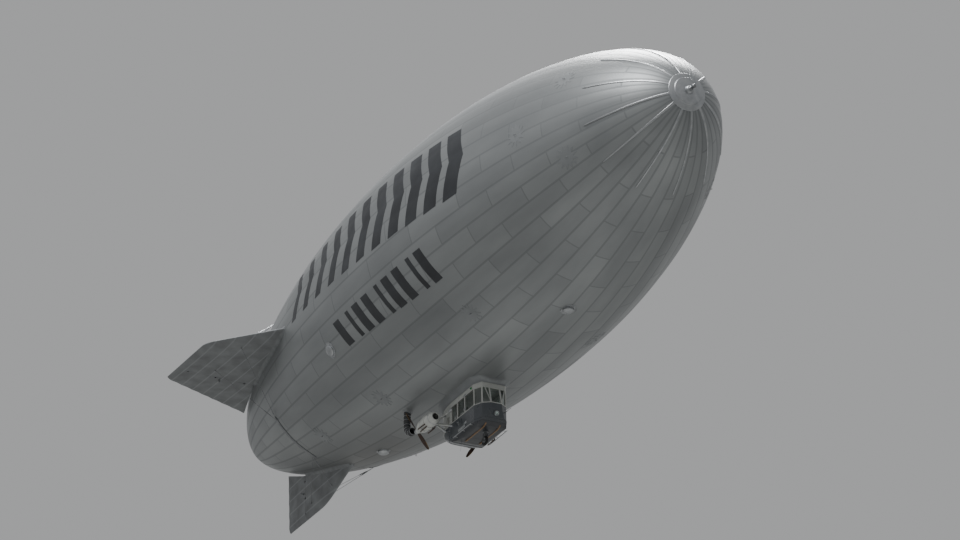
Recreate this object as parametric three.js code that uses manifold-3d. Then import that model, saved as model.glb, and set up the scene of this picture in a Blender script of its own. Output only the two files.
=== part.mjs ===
// A crewed advertising blimp: a gas envelope with a cruciform tail, and a gondola slung under it.
// Millimetres, +Z up. The nose points to -Y and starboard is -X.
// The origin is the centre of buoyancy, on the envelope's axis.
import * as THREE from "three";
import { mergeVertices } from "three/addons/utils/BufferGeometryUtils.js";
import Module from "manifold-3d";

const wasm = await Module();
wasm.setup();

// Driving dimensions of the envelope
const ENVELOPE_LENGTH = 38400;
const ENVELOPE_RADIUS = 5565;
const ENVELOPE_WALL = 10;
const WIDEST_STATION = 0.43;
const TAIL_POWER = 0.67;
const BUOYANCY_STATION = 0.46;
const GORE_COUNT = 40;
const NOSE_STEPS = 10;
const TAIL_STEPS = 11;
const SEAM = 0.5;

// Driving dimensions of the gondola
const CABIN_HALF_WIDTH = 740;
const CABIN_WALL = 40;
const CABIN_BOTTOM = -7600;
const DECK = -7430;
const ROOF_LINE = -5760;
const WINDOW_SILL = -6660;
const WINDOW_HEAD = -5980;
const GONDOLA_NOSE = -850;
const CABIN_FRONT = -250;
const CABIN_REAR = 1800;
const GONDOLA_TAIL = 3450;
const DOOR_FRONT = 520;
const DOOR_REAR = 1220;
const GLASS_THICKNESS = 6;

// Driving dimensions of the engines, the landing wheel and the fittings
const ENGINE_OFFSET = 1400;
const ENGINE_HEIGHT = -6420;
const ENGINE_FRONT = 1900;
const COWL_LENGTH = 1550;
const COWL_RADIUS = 290;
const PROPELLER_RADIUS = 900;
const GEAR_Y = 150;
const WHEEL_RADIUS = 210;
const WHEEL_HALF_WIDTH = 62;
const WHEEL_TRAIL = 80;
const STAY_RADIUS = 8;

// Materials, in the colours of aluminium dope, enamel and glass
const paint = (color, roughness, metalness) =>
  new THREE.MeshStandardMaterial({ color, roughness, metalness });
const silverDope = paint(0xb9bcbb, 0.38, 0.55);
const darkFabric = paint(0x4a4a49, 0.55, 0.1);
const steel = paint(0x9a9c9e, 0.4, 0.9);
const bareMetal = paint(0xc4c6c8, 0.32, 0.9);
const darkEnamel = paint(0x2b2e33, 0.35, 0.2);
const lightEnamel = paint(0xcfd1cd, 0.35, 0.2);
const glass = paint(0x8fa3a8, 0.08, 0);
const rubber = paint(0x1c1c1c, 0.8, 0);
const leather = paint(0x5a3d2a, 0.6, 0);

// Solids from three.js geometries, and back

function solid(geometry) {
  const bare = geometry.clone();
  bare.deleteAttribute("normal");
  bare.deleteAttribute("uv");
  const merged = mergeVertices(bare, 1e-3);
  const kept = [];
  const index = merged.index.array;
  for (let i = 0; i < index.length; i += 3) {
    const [a, b, c] = [index[i], index[i + 1], index[i + 2]];
    if (a !== b && b !== c && c !== a) kept.push(a, b, c);
  }
  const vertProperties = merged.attributes.position.array;
  const build = (triVerts) => new wasm.Manifold(new wasm.Mesh({ numProp: 3, vertProperties, triVerts }));
  const made = build(new Uint32Array(kept));
  return made.volume() >= 0 ? made : build(new Uint32Array(kept.reverse()));
}

function geometryOf(manifold) {
  const mesh = manifold.getMesh();
  const geometry = new THREE.BufferGeometry();
  geometry.setAttribute("position", new THREE.BufferAttribute(new Float32Array(mesh.vertProperties), 3));
  geometry.setIndex(new THREE.BufferAttribute(new Uint32Array(mesh.triVerts), 1));
  geometry.computeVertexNormals();
  return geometry;
}

const airship = new THREE.Group();

// Adds one named piece. turn is a rotation about the envelope's axis.
function piece(name, manifold, material, turn = 0) {
  const mesh = new THREE.Mesh(geometryOf(manifold), material);
  mesh.name = name;
  mesh.rotation.y = turn;
  airship.add(mesh);
}

// Basic shapes, placed where they belong

const join = (solids) => solids.reduce((all, one) => all.add(one));

function box(low, high) {
  const size = high.map((v, i) => v - low[i]);
  const geometry = new THREE.BoxGeometry(...size);
  return solid(geometry.translate(...low.map((v, i) => v + size[i] / 2)));
}

// A round bar from one point to another.
function bar(from, to, radius, sides = 12, endRadius = radius) {
  const start = new THREE.Vector3(...from);
  const run = new THREE.Vector3(...to).sub(start);
  const geometry = new THREE.CylinderGeometry(endRadius, radius, run.length(), sides);
  geometry.translate(0, run.length() / 2, 0);
  const direction = run.clone().normalize();
  const turn = new THREE.Quaternion().setFromUnitVectors(new THREE.Vector3(0, 1, 0), direction);
  return solid(geometry.applyQuaternion(turn).translate(...from));
}

// An outline extruded along one axis of the part. Its two coordinates are the other two axes in order.
const EXTRUSION_AXES = {
  x: [[0, 1, 0], [0, 0, 1], [1, 0, 0]],
  y: [[1, 0, 0], [0, 0, 1], [0, -1, 0]],
  z: [[1, 0, 0], [0, 1, 0], [0, 0, 1]],
};

function extrude(points, axis, from, to) {
  const options = { depth: to - from, bevelEnabled: false };
  const geometry = new THREE.ExtrudeGeometry(new THREE.Shape(points), options);
  const basis = EXTRUSION_AXES[axis].map((v) => new THREE.Vector3(...v));
  geometry.translate(0, 0, axis === "y" ? -to : from);
  return solid(geometry.applyMatrix4(new THREE.Matrix4().makeBasis(...basis)));
}

// A list of number pairs as points of an outline.
const outlineOf = (pairs) => pairs.map(([u, v]) => new THREE.Vector2(u, v));

// A profile of [radius, distance] pairs turned about an axis parallel to one of the part's axes.
const SPIN_AXES = { x: [0, 0, -Math.PI / 2], y: [0, 0, 0], z: [Math.PI / 2, 0, 0] };

function spin(profile, axis, at, sides) {
  const geometry = new THREE.LatheGeometry(outlineOf(profile), sides);
  geometry.applyMatrix4(new THREE.Matrix4().makeRotationFromEuler(new THREE.Euler(...SPIN_AXES[axis])));
  return solid(geometry.translate(...at));
}

// Joins outlines of equally many points at rising heights into one solid with flat ends.
function loft(drawn, heights, place) {
  const clockwise = THREE.ShapeUtils.isClockWise(outlineOf(drawn[0]));
  const outlines = clockwise ? drawn.map((outline) => [...outline].reverse()) : drawn;
  const count = outlines[0].length;
  const positions = outlines.flatMap((outline, k) => outline.flatMap(([u, v]) => place(u, v, heights[k])));
  const index = [];
  for (let k = 0; k + 1 < outlines.length; k++) {
    for (let i = 0; i < count; i++) {
      const [a, b] = [k * count + i, k * count + ((i + 1) % count)];
      index.push(a, b, b + count, a, b + count, a + count);
    }
  }
  const capOf = (outline) => THREE.ShapeUtils.triangulateShape(outlineOf(outline), []);
  const top = (outlines.length - 1) * count;
  for (const [a, b, c] of capOf(outlines[0])) index.push(c, b, a);
  for (const [a, b, c] of capOf(outlines.at(-1))) index.push(top + a, top + b, top + c);
  const geometry = new THREE.BufferGeometry();
  geometry.setAttribute("position", new THREE.Float32BufferAttribute(positions, 3));
  geometry.setIndex(index);
  return solid(geometry);
}

// The envelope's form: an ellipse from the nose to the widest station, then a power curve to the tail

const stationY = (station) => (station - BUOYANCY_STATION) * ENVELOPE_LENGTH;

function hullRadius(y) {
  const station = y / ENVELOPE_LENGTH + BUOYANCY_STATION;
  if (station < WIDEST_STATION) {
    return ENVELOPE_RADIUS * Math.sqrt(1 - (1 - station / WIDEST_STATION) ** 2);
  }
  return ENVELOPE_RADIUS * (1 - ((station - WIDEST_STATION) / (1 - WIDEST_STATION)) ** 2) ** TAIL_POWER;
}

// The form moved outwards by grow along its own normals, as [radius, y] pairs from nose to tail.
function hullProfile(grow) {
  const profile = [];
  const noseLength = WIDEST_STATION * ENVELOPE_LENGTH;
  const tailLength = ENVELOPE_LENGTH - noseLength;
  const add = (radius, y, slopeRadius, slopeY) => {
    const size = Math.hypot(slopeRadius, slopeY);
    profile.push([radius + (grow * slopeY) / size, y - (grow * slopeRadius) / size]);
  };
  for (let k = 0; k < NOSE_STEPS; k++) {
    const a = (k / NOSE_STEPS) * (Math.PI / 2);
    const y = stationY(0) + noseLength * (1 - Math.cos(a));
    add(ENVELOPE_RADIUS * Math.sin(a), y, ENVELOPE_RADIUS * Math.cos(a), noseLength * Math.sin(a));
  }
  for (let k = 0; k < TAIL_STEPS; k++) {
    const a = (k / TAIL_STEPS) * (Math.PI / 2);
    const fall = -2 * TAIL_POWER * Math.cos(a) ** (2 * TAIL_POWER - 1) * Math.sin(a);
    const y = stationY(WIDEST_STATION) + tailLength * Math.sin(a);
    const radius = ENVELOPE_RADIUS * Math.cos(a) ** (2 * TAIL_POWER);
    add(radius, y, ENVELOPE_RADIUS * fall, tailLength * Math.cos(a));
  }
  profile.push([0, stationY(1) + grow]);
  profile[0][0] = 0;
  return profile;
}

const hull = (grow) => spin(hullProfile(grow), "y", [0, 0, 0], GORE_COUNT);
const hullSkin = (inner, outer) => hull(outer).subtract(hull(inner));
const hullCutter = hull(SEAM);

// Valves in the belly and on the flank: name, y, and the turn about the axis from straight down
const VALVE_HOLE_RADIUS = 260;
const VALVE_FLANGE_RADIUS = 360;
const VALVE_FLANGE_THICKNESS = 28;
const VALVE_COVER = [[0, 60], [215, 60], [240, 20], [240, -60], [200, -95], [110, -125], [0, -132]];
const VALVES = [
  { name: "air_valve_forward", y: -7200, turn: 0 },
  { name: "air_valve_aft", y: 9300, turn: 0 },
  { name: "gas_valve", y: 5200, turn: Math.PI / 3 },
];

function aroundAxis(manifold, turn) {
  const angle = (turn * 180) / Math.PI;
  return manifold.rotate([0, angle, 0]);
}

function makeEnvelope() {
  const holes = VALVES.map(({ y, turn }) => {
    const drill = bar([0, y, -0.8 * hullRadius(y)], [0, y, -1.2 * hullRadius(y)], VALVE_HOLE_RADIUS, 24);
    return aroundAxis(drill, turn);
  });
  piece("envelope", hullSkin(-ENVELOPE_WALL, 0).subtract(join(holes)), silverDope);
  for (const { name, y, turn } of VALVES) {
    const depth = hullRadius(y);
    const disc = bar([0, y, -0.8 * depth], [0, y, -1.2 * depth], VALVE_FLANGE_RADIUS, 24);
    const flange = hullSkin(SEAM, VALVE_FLANGE_THICKNESS).intersect(aroundAxis(disc, turn));
    const cover = aroundAxis(spin(VALVE_COVER, "z", [0, y, -depth], 24), turn);
    piece(name, flange.add(cover), steel);
  }
}

// The nose: a metal dish, battens that stiffen the fabric behind it, and the mooring spindle
const BATTEN_COUNT = 12;
const BATTEN_LENGTH = 3100;
const BATTEN_WIDTH = 110;
const BATTEN_THICKNESS = 32;
const DISH_RADIUS = 620;
const DISH_THICKNESS = 26;
const DISH_LAP = 80;
const SPINDLE = [
  [0, -191], [95, -191], [95, -215], [62, -240], [62, -400], [84, -425], [84, -470], [50, -505], [0, -505],
];

function makeNose() {
  const nose = stationY(0);
  const skin = hullSkin(SEAM, BATTEN_THICKNESS);
  const slabs = [];
  const half = BATTEN_WIDTH / 2;
  for (let k = 0; k < BATTEN_COUNT / 2; k++) {
    const slab = box([-half, nose - 100, -ENVELOPE_RADIUS], [half, nose + BATTEN_LENGTH, ENVELOPE_RADIUS]);
    slabs.push(aroundAxis(slab, ((k + 0.5) * Math.PI * 2) / BATTEN_COUNT));
  }
  const disc = (radius) => bar([0, nose - 200, 0], [0, nose + 900, 0], radius, 32);
  const battens = skin.intersect(join([...slabs, disc(DISH_RADIUS + 220)]));
  piece("nose_battens", battens.subtract(disc(DISH_RADIUS - DISH_LAP)), bareMetal);
  const crownSkin = hullSkin(BATTEN_THICKNESS + SEAM, BATTEN_THICKNESS + DISH_THICKNESS);
  const crown = crownSkin.intersect(disc(DISH_RADIUS));
  const plug = hullSkin(SEAM, BATTEN_THICKNESS + 10).intersect(disc(DISH_RADIUS - DISH_LAP - 2));
  const socket = spin([[0, 0], [190, 0], [170, -150], [120, -190], [0, -190]], "y", [0, nose, 0], 24);
  piece("nose_dish", crown.add(plug).add(socket.subtract(hullCutter)), bareMetal);
  piece("mooring_spindle", spin(SPINDLE, "y", [0, nose, 0], 24), steel);
}

// The tail: each fin and its control surface share one aerofoil, drawn at rising heights from the axis.
// Lines are given as [height, y] pairs; the fin stands up from the axis, and is turned about it to its place.
const MAIN_FIN = {
  leading: [[4733, stationY(0.694)], [7150, stationY(0.765)]],
  hingeY: stationY(0.836),
  trailing: [[2366, stationY(0.914)], [7150, stationY(0.865)]],
  surfaceRoot: 3540,
  rootSlope: 0.34,
  tip: 7150,
  stayHeight: 5700,
  stayTurn: (36 * Math.PI) / 180,
};
const BOTTOM_FIN = {
  leading: [[3900, stationY(0.76)], [4950, stationY(0.842)]],
  hingeY: stationY(0.889),
  trailing: [[2000, stationY(0.934)], [4950, stationY(0.934)]],
  surfaceRoot: 2890,
  rootSlope: 0.42,
  tip: 4950,
  stayHeight: 4400,
  stayTurn: (22 * Math.PI) / 180,
};
const FIN_ROOT = 1500;
const FIN_THICKNESS = 0.045;
const COVE_GAP = 12;
const TIP_ROUNDING = 320;
const HINGE_ROD = 14;

const alongLine = ([[h0, y0], [h1, y1]], h) => y0 + ((h - h0) / (h1 - h0)) * (y1 - y0);

// Half the thickness at a share of the chord, by the four-digit aerofoil formula.
function halfThickness(share, chord) {
  const s = Math.min(Math.max(share, 0), 1);
  const form = 0.2969 * Math.sqrt(s) - 0.126 * s - 0.3516 * s ** 2 + 0.2843 * s ** 3 - 0.1015 * s ** 4;
  return 5 * FIN_THICKNESS * chord * form + 10;
}

// How far a rounded tip has drawn in at a height: 1 below the rounding, falling to near 0 at the tip.
function tipFactor(h, tip) {
  const q = Math.min(Math.max((h - tip + TIP_ROUNDING) / TIP_ROUNDING, 0), 0.985);
  return Math.sqrt(1 - q * q);
}

function finOutline(fin, h) {
  const shrink = tipFactor(h, fin.tip);
  const leading = alongLine(fin.leading, h);
  const chord = alongLine(fin.trailing, h) - leading;
  const front = leading + TIP_ROUNDING * (1 - shrink);
  const nose = halfThickness((fin.hingeY - leading) / chord, chord);
  const cove = nose * shrink + COVE_GAP;
  const lip = fin.hingeY - Math.sqrt(cove ** 2 - (nose * shrink) ** 2);
  const shares = [0, 0.012, 0.05, 0.14, 0.32, 0.6, 1];
  const upper = shares.map((s) => {
    const y = front + s * (lip - front);
    return [y, Math.max(halfThickness((y - leading) / chord, chord) * shrink * (s === 0 ? 0.35 : 1), 4)];
  });
  const lipAngle = Math.atan2(nose * shrink, lip - fin.hingeY);
  const arc = [];
  for (let k = 1; k < 8; k++) {
    const a = lipAngle + (k / 8) * 2 * (Math.PI - lipAngle);
    arc.push([fin.hingeY + cove * Math.cos(a), cove * Math.sin(a)]);
  }
  return [...upper, ...arc, ...upper.map(([y, v]) => [y, -v]).reverse()];
}

function surfaceOutline(fin, h) {
  const shrink = tipFactor(h, fin.tip);
  const leading = alongLine(fin.leading, h);
  const chord = alongLine(fin.trailing, h) - leading;
  const nose = halfThickness((fin.hingeY - leading) / chord, chord) * shrink;
  const end = alongLine(fin.trailing, h) - 0.5 * TIP_ROUNDING * (1 - shrink);
  const arc = [];
  for (let k = 0; k <= 8; k++) {
    const a = Math.PI * 1.5 - (k / 8) * Math.PI;
    arc.push([fin.hingeY + nose * Math.cos(a), nose * Math.sin(a)]);
  }
  const edge = 12 * Math.max(shrink, 0.4);
  const middle = fin.hingeY + 0.5 * (end - fin.hingeY);
  const half = 0.55 * nose + 0.45 * edge;
  return [...arc, [middle, half], [end, edge], [end, -edge], [middle, -half]];
}

const standing = (u, v, h) => [v, u, h];

function finHeights(from, tip) {
  const body = [from, from + 0.5 * (tip - TIP_ROUNDING - from), tip - TIP_ROUNDING];
  return [...body, ...[0.5, 0.8, 0.95, 1].map((q) => tip - TIP_ROUNDING * (1 - q))];
}

// Hinge places on a fin, as heights from the axis.
const hingeHeights = (fin) => [0.12, 0.5, 0.86].map((share) => {
  return fin.surfaceRoot + share * (fin.tip - fin.surfaceRoot);
});

function makeFin(fin) {
  const heights = finHeights(FIN_ROOT, fin.tip);
  const body = loft(heights.map((h) => finOutline(fin, h)), heights, standing).subtract(hullCutter);
  const lugs = hingeHeights(fin).map((h) => {
    const arm = box([-42, fin.hingeY - 340, h - 30], [42, fin.hingeY, h + 30]);
    const eye = bar([0, fin.hingeY, h - 30], [0, fin.hingeY, h + 30], 42, 16);
    return arm.add(eye).subtract(bar([0, fin.hingeY, h - 40], [0, fin.hingeY, h + 40], HINGE_ROD + 2, 16));
  });
  return join([body, ...lugs]);
}

function makeSurface(fin) {
  const heights = finHeights(fin.surfaceRoot - 1700, fin.tip);
  const body = loft(heights.map((h) => surfaceOutline(fin, h)), heights, standing);
  const reach = 4000;
  const y = fin.hingeY;
  const underside = outlineOf([
    [y - reach, fin.surfaceRoot], [y, fin.surfaceRoot], [y + reach, fin.surfaceRoot - fin.rootSlope * reach],
    [y + reach, -1000], [y - reach, -1000],
  ]);
  const below = extrude(underside, "x", -800, 800);
  const notches = hingeHeights(fin).map((h) => box([-400, y - 400, h - 46], [400, y + 66, h + 46]));
  const rods = hingeHeights(fin).map((h) => bar([0, y, h - 90], [0, y, h + 90], HINGE_ROD, 12));
  return body.subtract(join([below, ...notches])).add(join(rods));
}

// Tail pieces: quarter name, turn about the axis, fin form, control surface name
const TAIL = [
  { quarter: "top", turn: 0, fin: MAIN_FIN, surface: "rudder_top" },
  { quarter: "port", turn: Math.PI / 2, fin: MAIN_FIN, surface: "elevator_port" },
  { quarter: "bottom", turn: Math.PI, fin: BOTTOM_FIN, surface: "rudder_bottom" },
  { quarter: "starboard", turn: -Math.PI / 2, fin: MAIN_FIN, surface: "elevator_starboard" },
];

function makeTail() {
  for (const { quarter, turn, fin, surface } of TAIL) {
    piece(`fin_${quarter}`, makeFin(fin), darkFabric, turn);
    piece(surface, makeSurface(fin), darkFabric, turn);
  }
}

// Stays: between two fins a band on the hull carries a pair of wires to each of them
const STAY_BAND_Y = stationY(0.8);
const STAY_BAND_HALF = 110;
const STAY_BAND_THICKNESS = 24;
const STAY_BAND_LAP = 0.05;

function stayWires(fin, turn, side) {
  const h = fin.stayHeight;
  const leading = alongLine(fin.leading, h);
  const chord = alongLine(fin.trailing, h) - leading;
  const foot = hullRadius(STAY_BAND_Y) + 10;
  const footTurn = turn + side * fin.stayTurn;
  const start = [foot * Math.sin(footTurn), STAY_BAND_Y, foot * Math.cos(footTurn)];
  return [0.28, 0.9].map((share) => {
    const y = leading + share * (fin.hingeY - 260 - leading);
    const across = side * (halfThickness((y - leading) / chord, chord) + STAY_RADIUS + 3);
    const [sine, cosine] = [Math.sin(turn), Math.cos(turn)];
    return bar(start, [across * cosine + h * sine, y, h * cosine - across * sine], STAY_RADIUS, 6);
  });
}

function makeStays() {
  const reach = 2 * hullRadius(STAY_BAND_Y);
  const skin = hullSkin(SEAM, STAY_BAND_THICKNESS);
  TAIL.forEach((first, k) => {
    const second = TAIL[(k + 1) % TAIL.length];
    const from = first.turn + first.fin.stayTurn - STAY_BAND_LAP;
    const to = first.turn + Math.PI / 2 - second.fin.stayTurn + STAY_BAND_LAP;
    const corners = [from, to].map((a) => [reach * Math.sin(a), reach * Math.cos(a)]);
    const wedge = outlineOf([[0, 0], ...corners]);
    const sector = extrude(wedge, "y", STAY_BAND_Y - STAY_BAND_HALF, STAY_BAND_Y + STAY_BAND_HALF);
    const band = skin.intersect(sector);
    const wires = [...stayWires(first.fin, first.turn, 1), ...stayWires(second.fin, second.turn, -1)];
    piece(`stays_${first.quarter}_${second.quarter}`, join([band, ...wires]), steel);
  });
}

// The gondola's outer form is a side view, a plan and a cross-section that cut each other.
// Each is drawn smaller by inset, so that the same three views also give the cabin's inside and its glass.

// A convex outline with every edge moved inwards by distance.
function shrinkOutline(points, distance) {
  const area = THREE.ShapeUtils.area(points);
  const edges = points.map((p, i) => {
    const run = points[(i + 1) % points.length].clone().sub(p).normalize();
    const inward = new THREE.Vector2(-run.y, run.x).multiplyScalar(Math.sign(area) * distance);
    return { start: p.clone().add(inward), run };
  });
  return edges.map((edge, i) => {
    const before = edges[(i + edges.length - 1) % edges.length];
    const cross = before.run.cross(edge.run);
    const t = edge.start.clone().sub(before.start).cross(edge.run) / cross;
    return before.start.clone().addScaledVector(before.run, t);
  });
}

const TAIL_RISE_START = 950;
const TAIL_RISE_BEND = 2400;
const TAIL_RISE_END = -6550;

function sideView() {
  const shape = new THREE.Shape();
  shape.moveTo(GONDOLA_NOSE + 300, -5200);
  shape.lineTo(GONDOLA_NOSE, WINDOW_SILL - 20);
  shape.quadraticCurveTo(GONDOLA_NOSE, CABIN_BOTTOM, CABIN_FRONT + 100, CABIN_BOTTOM);
  shape.lineTo(TAIL_RISE_START, CABIN_BOTTOM);
  shape.quadraticCurveTo(TAIL_RISE_BEND, CABIN_BOTTOM, GONDOLA_TAIL, TAIL_RISE_END);
  shape.lineTo(GONDOLA_TAIL, -5200);
  return shape.getPoints(5);
}

const NOSE_CORNERS = [[240, GONDOLA_NOSE], [560, -640], [CABIN_HALF_WIDTH, CABIN_FRONT]];

function planView() {
  const [[noseX, noseY], ...rest] = NOSE_CORNERS;
  const half = [[noseX, noseY - 5], ...rest, [CABIN_HALF_WIDTH, CABIN_REAR - 200]];
  const bends = [[CABIN_HALF_WIDTH, 1600], [CABIN_HALF_WIDTH - 20, 2800], [240, GONDOLA_TAIL + 5]];
  const tail = new THREE.QuadraticBezierCurve(...outlineOf(bends));
  const right = [...outlineOf(half), ...tail.getPoints(5).slice(1)];
  return [...right, ...right.map((p) => new THREE.Vector2(-p.x, p.y)).reverse()];
}

function crossView() {
  const shape = new THREE.Shape();
  const corner = 220;
  const w = CABIN_HALF_WIDTH + 0.5;
  shape.moveTo(w, -5200);
  shape.lineTo(-w, -5200);
  shape.lineTo(-w, CABIN_BOTTOM - 0.5 + corner);
  shape.absarc(-w + corner, CABIN_BOTTOM - 0.5 + corner, corner, Math.PI, Math.PI * 1.5, false);
  shape.absarc(w - corner, CABIN_BOTTOM - 0.5 + corner, corner, Math.PI * 1.5, Math.PI * 2, false);
  return shape.getPoints(4);
}

// Points that follow each other too closely would give an edge no direction.
const distinct = (points) => points.filter((p, i) => p.distanceTo(points[(i + 1) % points.length]) > 1);

function gondolaForm(inset) {
  const views = [
    [sideView(), "x", -1200, 1200],
    [planView(), "z", -8200, -5000],
    [crossView(), "y", -2500, 5000],
  ];
  const solids = views.map(([points, axis, from, to]) => {
    return extrude(shrinkOutline(distinct(points), inset), axis, from, to);
  });
  return solids.reduce((form, cutter) => form.intersect(cutter));
}

const PILLAR_HALF = 30;
const PILLAR_REACH = 350;
const NOSE_PILLAR_TURNS = [0, 0.75, 1.35];
const GLASS_LAP = 30;
const DOOR_GAP = 5;
const SILL_GAP = 8;
const DOOR_WINDOW_MARGIN = 80;

// The height band that the windows take, wider by lap.
function windowBand(lap) {
  const low = [-1200, GONDOLA_NOSE - 200, WINDOW_SILL - lap];
  return box(low, [1200, CABIN_REAR - 130 + lap, WINDOW_HEAD + lap]);
}

// Window pillars at the corners of the glazed nose and along the sides.
function windowPillars() {
  const pillarAt = (x, y, turn) => {
    const low = [-PILLAR_HALF, -PILLAR_REACH, WINDOW_SILL - 50];
    const slab = box(low, [PILLAR_HALF, PILLAR_REACH, WINDOW_HEAD + 50]);
    return slab.rotate([0, 0, (turn * 180) / Math.PI]).translate([x, y, 0]);
  };
  return [-1, 1].flatMap((side) => [
    ...NOSE_CORNERS.map(([x, y], k) => pillarAt(side * x, y, side * NOSE_PILLAR_TURNS[k])),
    ...[DOOR_FRONT, DOOR_REAR].map((y) => pillarAt(side * CABIN_HALF_WIDTH, y, Math.PI / 2)),
  ]);
}

// The space between two corners, drawn in by half a seam on every side.
const zone = (low, high) => box(low.map((v) => v + SEAM), high.map((v) => v - SEAM));

function makeGondola() {
  const outer = gondolaForm(0).subtract(hullCutter);
  const wall = outer.subtract(gondolaForm(CABIN_WALL));
  const glazedWall = wall.subtract(windowBand(0).subtract(join(windowPillars())));
  // Name, the solid it is cut from, the two corners of its zone
  const panels = [
    ["gondola_keel", outer, [-1200, -4000, -9000], [1200, CABIN_REAR, DECK]],
    ["gondola_roof", outer, [-1200, -4000, ROOF_LINE], [1200, CABIN_REAR, -4000]],
    ["gondola_tail", outer, [-1200, CABIN_REAR, -9000], [1200, 5000, -4000]],
    ["gondola_nose", glazedWall, [-1200, -4000, DECK], [1200, CABIN_FRONT, ROOF_LINE]],
    ["gondola_side_port", glazedWall, [0, CABIN_FRONT, DECK], [1200, CABIN_REAR, ROOF_LINE]],
    ["gondola_side_starboard_front", glazedWall, [-1200, CABIN_FRONT, DECK], [0, DOOR_FRONT, ROOF_LINE]],
    ["gondola_side_starboard_rear", glazedWall, [-1200, DOOR_REAR, DECK], [0, CABIN_REAR, ROOF_LINE]],
  ];
  for (const [name, from, low, high] of panels) {
    piece(name, from.intersect(zone(low, high)), name === "gondola_keel" ? darkEnamel : lightEnamel);
  }
  const doorLow = [-1200, DOOR_FRONT + DOOR_GAP, DECK + SILL_GAP];
  const doorZone = box(doorLow, [0, DOOR_REAR - DOOR_GAP, ROOF_LINE - SILL_GAP]);
  const doorWindow = box(
    [-1200, DOOR_FRONT + DOOR_WINDOW_MARGIN, WINDOW_SILL],
    [0, DOOR_REAR - DOOR_WINDOW_MARGIN, WINDOW_HEAD],
  );
  piece("cabin_door", wall.intersect(doorZone).subtract(doorWindow), lightEnamel);
  const glassOutside = gondolaForm(CABIN_WALL + SEAM);
  const glassInside = gondolaForm(CABIN_WALL + SEAM + GLASS_THICKNESS);
  const glazing = glassOutside.subtract(glassInside).intersect(windowBand(GLASS_LAP));
  const panes = [
    ["windscreen", [-1200, -4000], [1200, CABIN_FRONT]],
    ["windows_port", [0, CABIN_FRONT], [1200, CABIN_REAR]],
    ["windows_starboard_front", [-1200, CABIN_FRONT], [0, DOOR_FRONT - 10]],
    ["windows_starboard_rear", [-1200, DOOR_REAR + 10], [0, CABIN_REAR]],
    ["door_window", [-1200, DOOR_FRONT + 55], [0, DOOR_REAR - 55]],
  ];
  for (const [name, [x0, y0], [x1, y1]] of panes) {
    piece(name, glazing.intersect(zone([x0, y0, -9000], [x1, y1, -4000])), glass);
  }
}

// Inside the cabin: seats facing the nose, the instrument panel and the elevator wheel
const SEATS = [
  { name: "pilot_seat", x: 350, y: -20, width: 480 },
  { name: "copilot_seat", x: -350, y: -20, width: 480 },
  { name: "rear_bench", x: 0, y: 1230, width: 1300 },
];

function makeSeat({ name, x, y, width }) {
  const shape = [
    [y, DECK + 1], [y + 400, DECK + 1], [y + 520, -6640],
    [y + 420, -6620], [y + 340, -6960], [y, -7000],
  ];
  piece(name, extrude(outlineOf(shape), "x", x - width / 2, x + width / 2), leather);
}

function makeCabin() {
  SEATS.forEach(makeSeat);
  const panel = [[-520, DECK + 1], [-400, DECK + 1], [-330, -6880], [-480, -6820]];
  piece("instrument_panel", extrude(outlineOf(panel), "x", -380, 380), darkEnamel);
  const wheelAt = [640, 60, -6990];
  const rimSection = [[168, -12], [190, -12], [190, 12], [168, 12], [168, -12]];
  const spokeAt = (angle) => box([-9, -11, -172], [9, 11, 172]).rotate([angle, 0, 0]).translate(wheelAt);
  const spokes = [0, 60, 120].map(spokeAt);
  const pedestal = box([654, 15, DECK + 1], [688, 105, -6950]);
  const shaft = bar([628, 60, -6990], [672, 60, -6990], 26, 12);
  piece("elevator_wheel", join([spin(rimSection, "x", wheelAt, 20), ...spokes, shaft, pedestal]), steel);
}

// Rails for the ground crew round the foot of the gondola
const RAIL_HEIGHT = -7490;
const RAIL_OUT = 850;
const RAIL_FRONT = -150;
const RAIL_REAR = 1400;

function makeRails() {
  for (const [name, side] of [["handrail_port", 1], ["handrail_starboard", -1]]) {
    const [x, z] = [side * RAIL_OUT, RAIL_HEIGHT];
    const rail = bar([x, RAIL_FRONT, z], [x, RAIL_REAR, z], 16, 10);
    const middle = (RAIL_FRONT + RAIL_REAR) / 2;
    const bracketAt = (y) => bar([side * 640, y, z], [x, y, z], 12, 8);
    const brackets = [RAIL_FRONT + 100, middle, RAIL_REAR - 100].map(bracketAt);
    piece(name, join([rail, ...brackets]).subtract(gondolaForm(-SEAM)), bareMetal);
  }
}

// Engines on outriggers: a block in a cowling, a pusher propeller, and an air scoop in its slipstream
const RING_Y = ENGINE_FRONT + 600;
const HUB_Y = ENGINE_FRONT + COWL_LENGTH + 90;
const SCOOP_RADIUS = 150;
const SCOOP_WALL = 12;
const SCOOP_Y = HUB_Y + 400;
const COWL_SIDES = 20;

function makeCowl([x, y, z]) {
  const r = COWL_RADIUS;
  const outer = [
    [0, -55], [135, -20], [205, 35], [262, 140], [r, 380],
    [r, 820], [240, 1230], [155, 1500], [135, COWL_LENGTH], [0, COWL_LENGTH],
  ];
  const inner = [
    [0, -80], [125, -40], [170, 35], [236, 160], [r - 25, 390], [r - 25, 810], [214, 1200], [0, 1220],
  ];
  const shaftHole = bar([x, y + 1100, z], [x, y + COWL_LENGTH + 50, z], 55, 16);
  const mouth = bar([x, y - 100, z], [x, y + 60, z], 132, COWL_SIDES);
  const shell = spin(outer, "y", [x, y, z], COWL_SIDES).subtract(spin(inner, "y", [x, y, z], COWL_SIDES));
  return shell.subtract(shaftHole).subtract(mouth);
}

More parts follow.
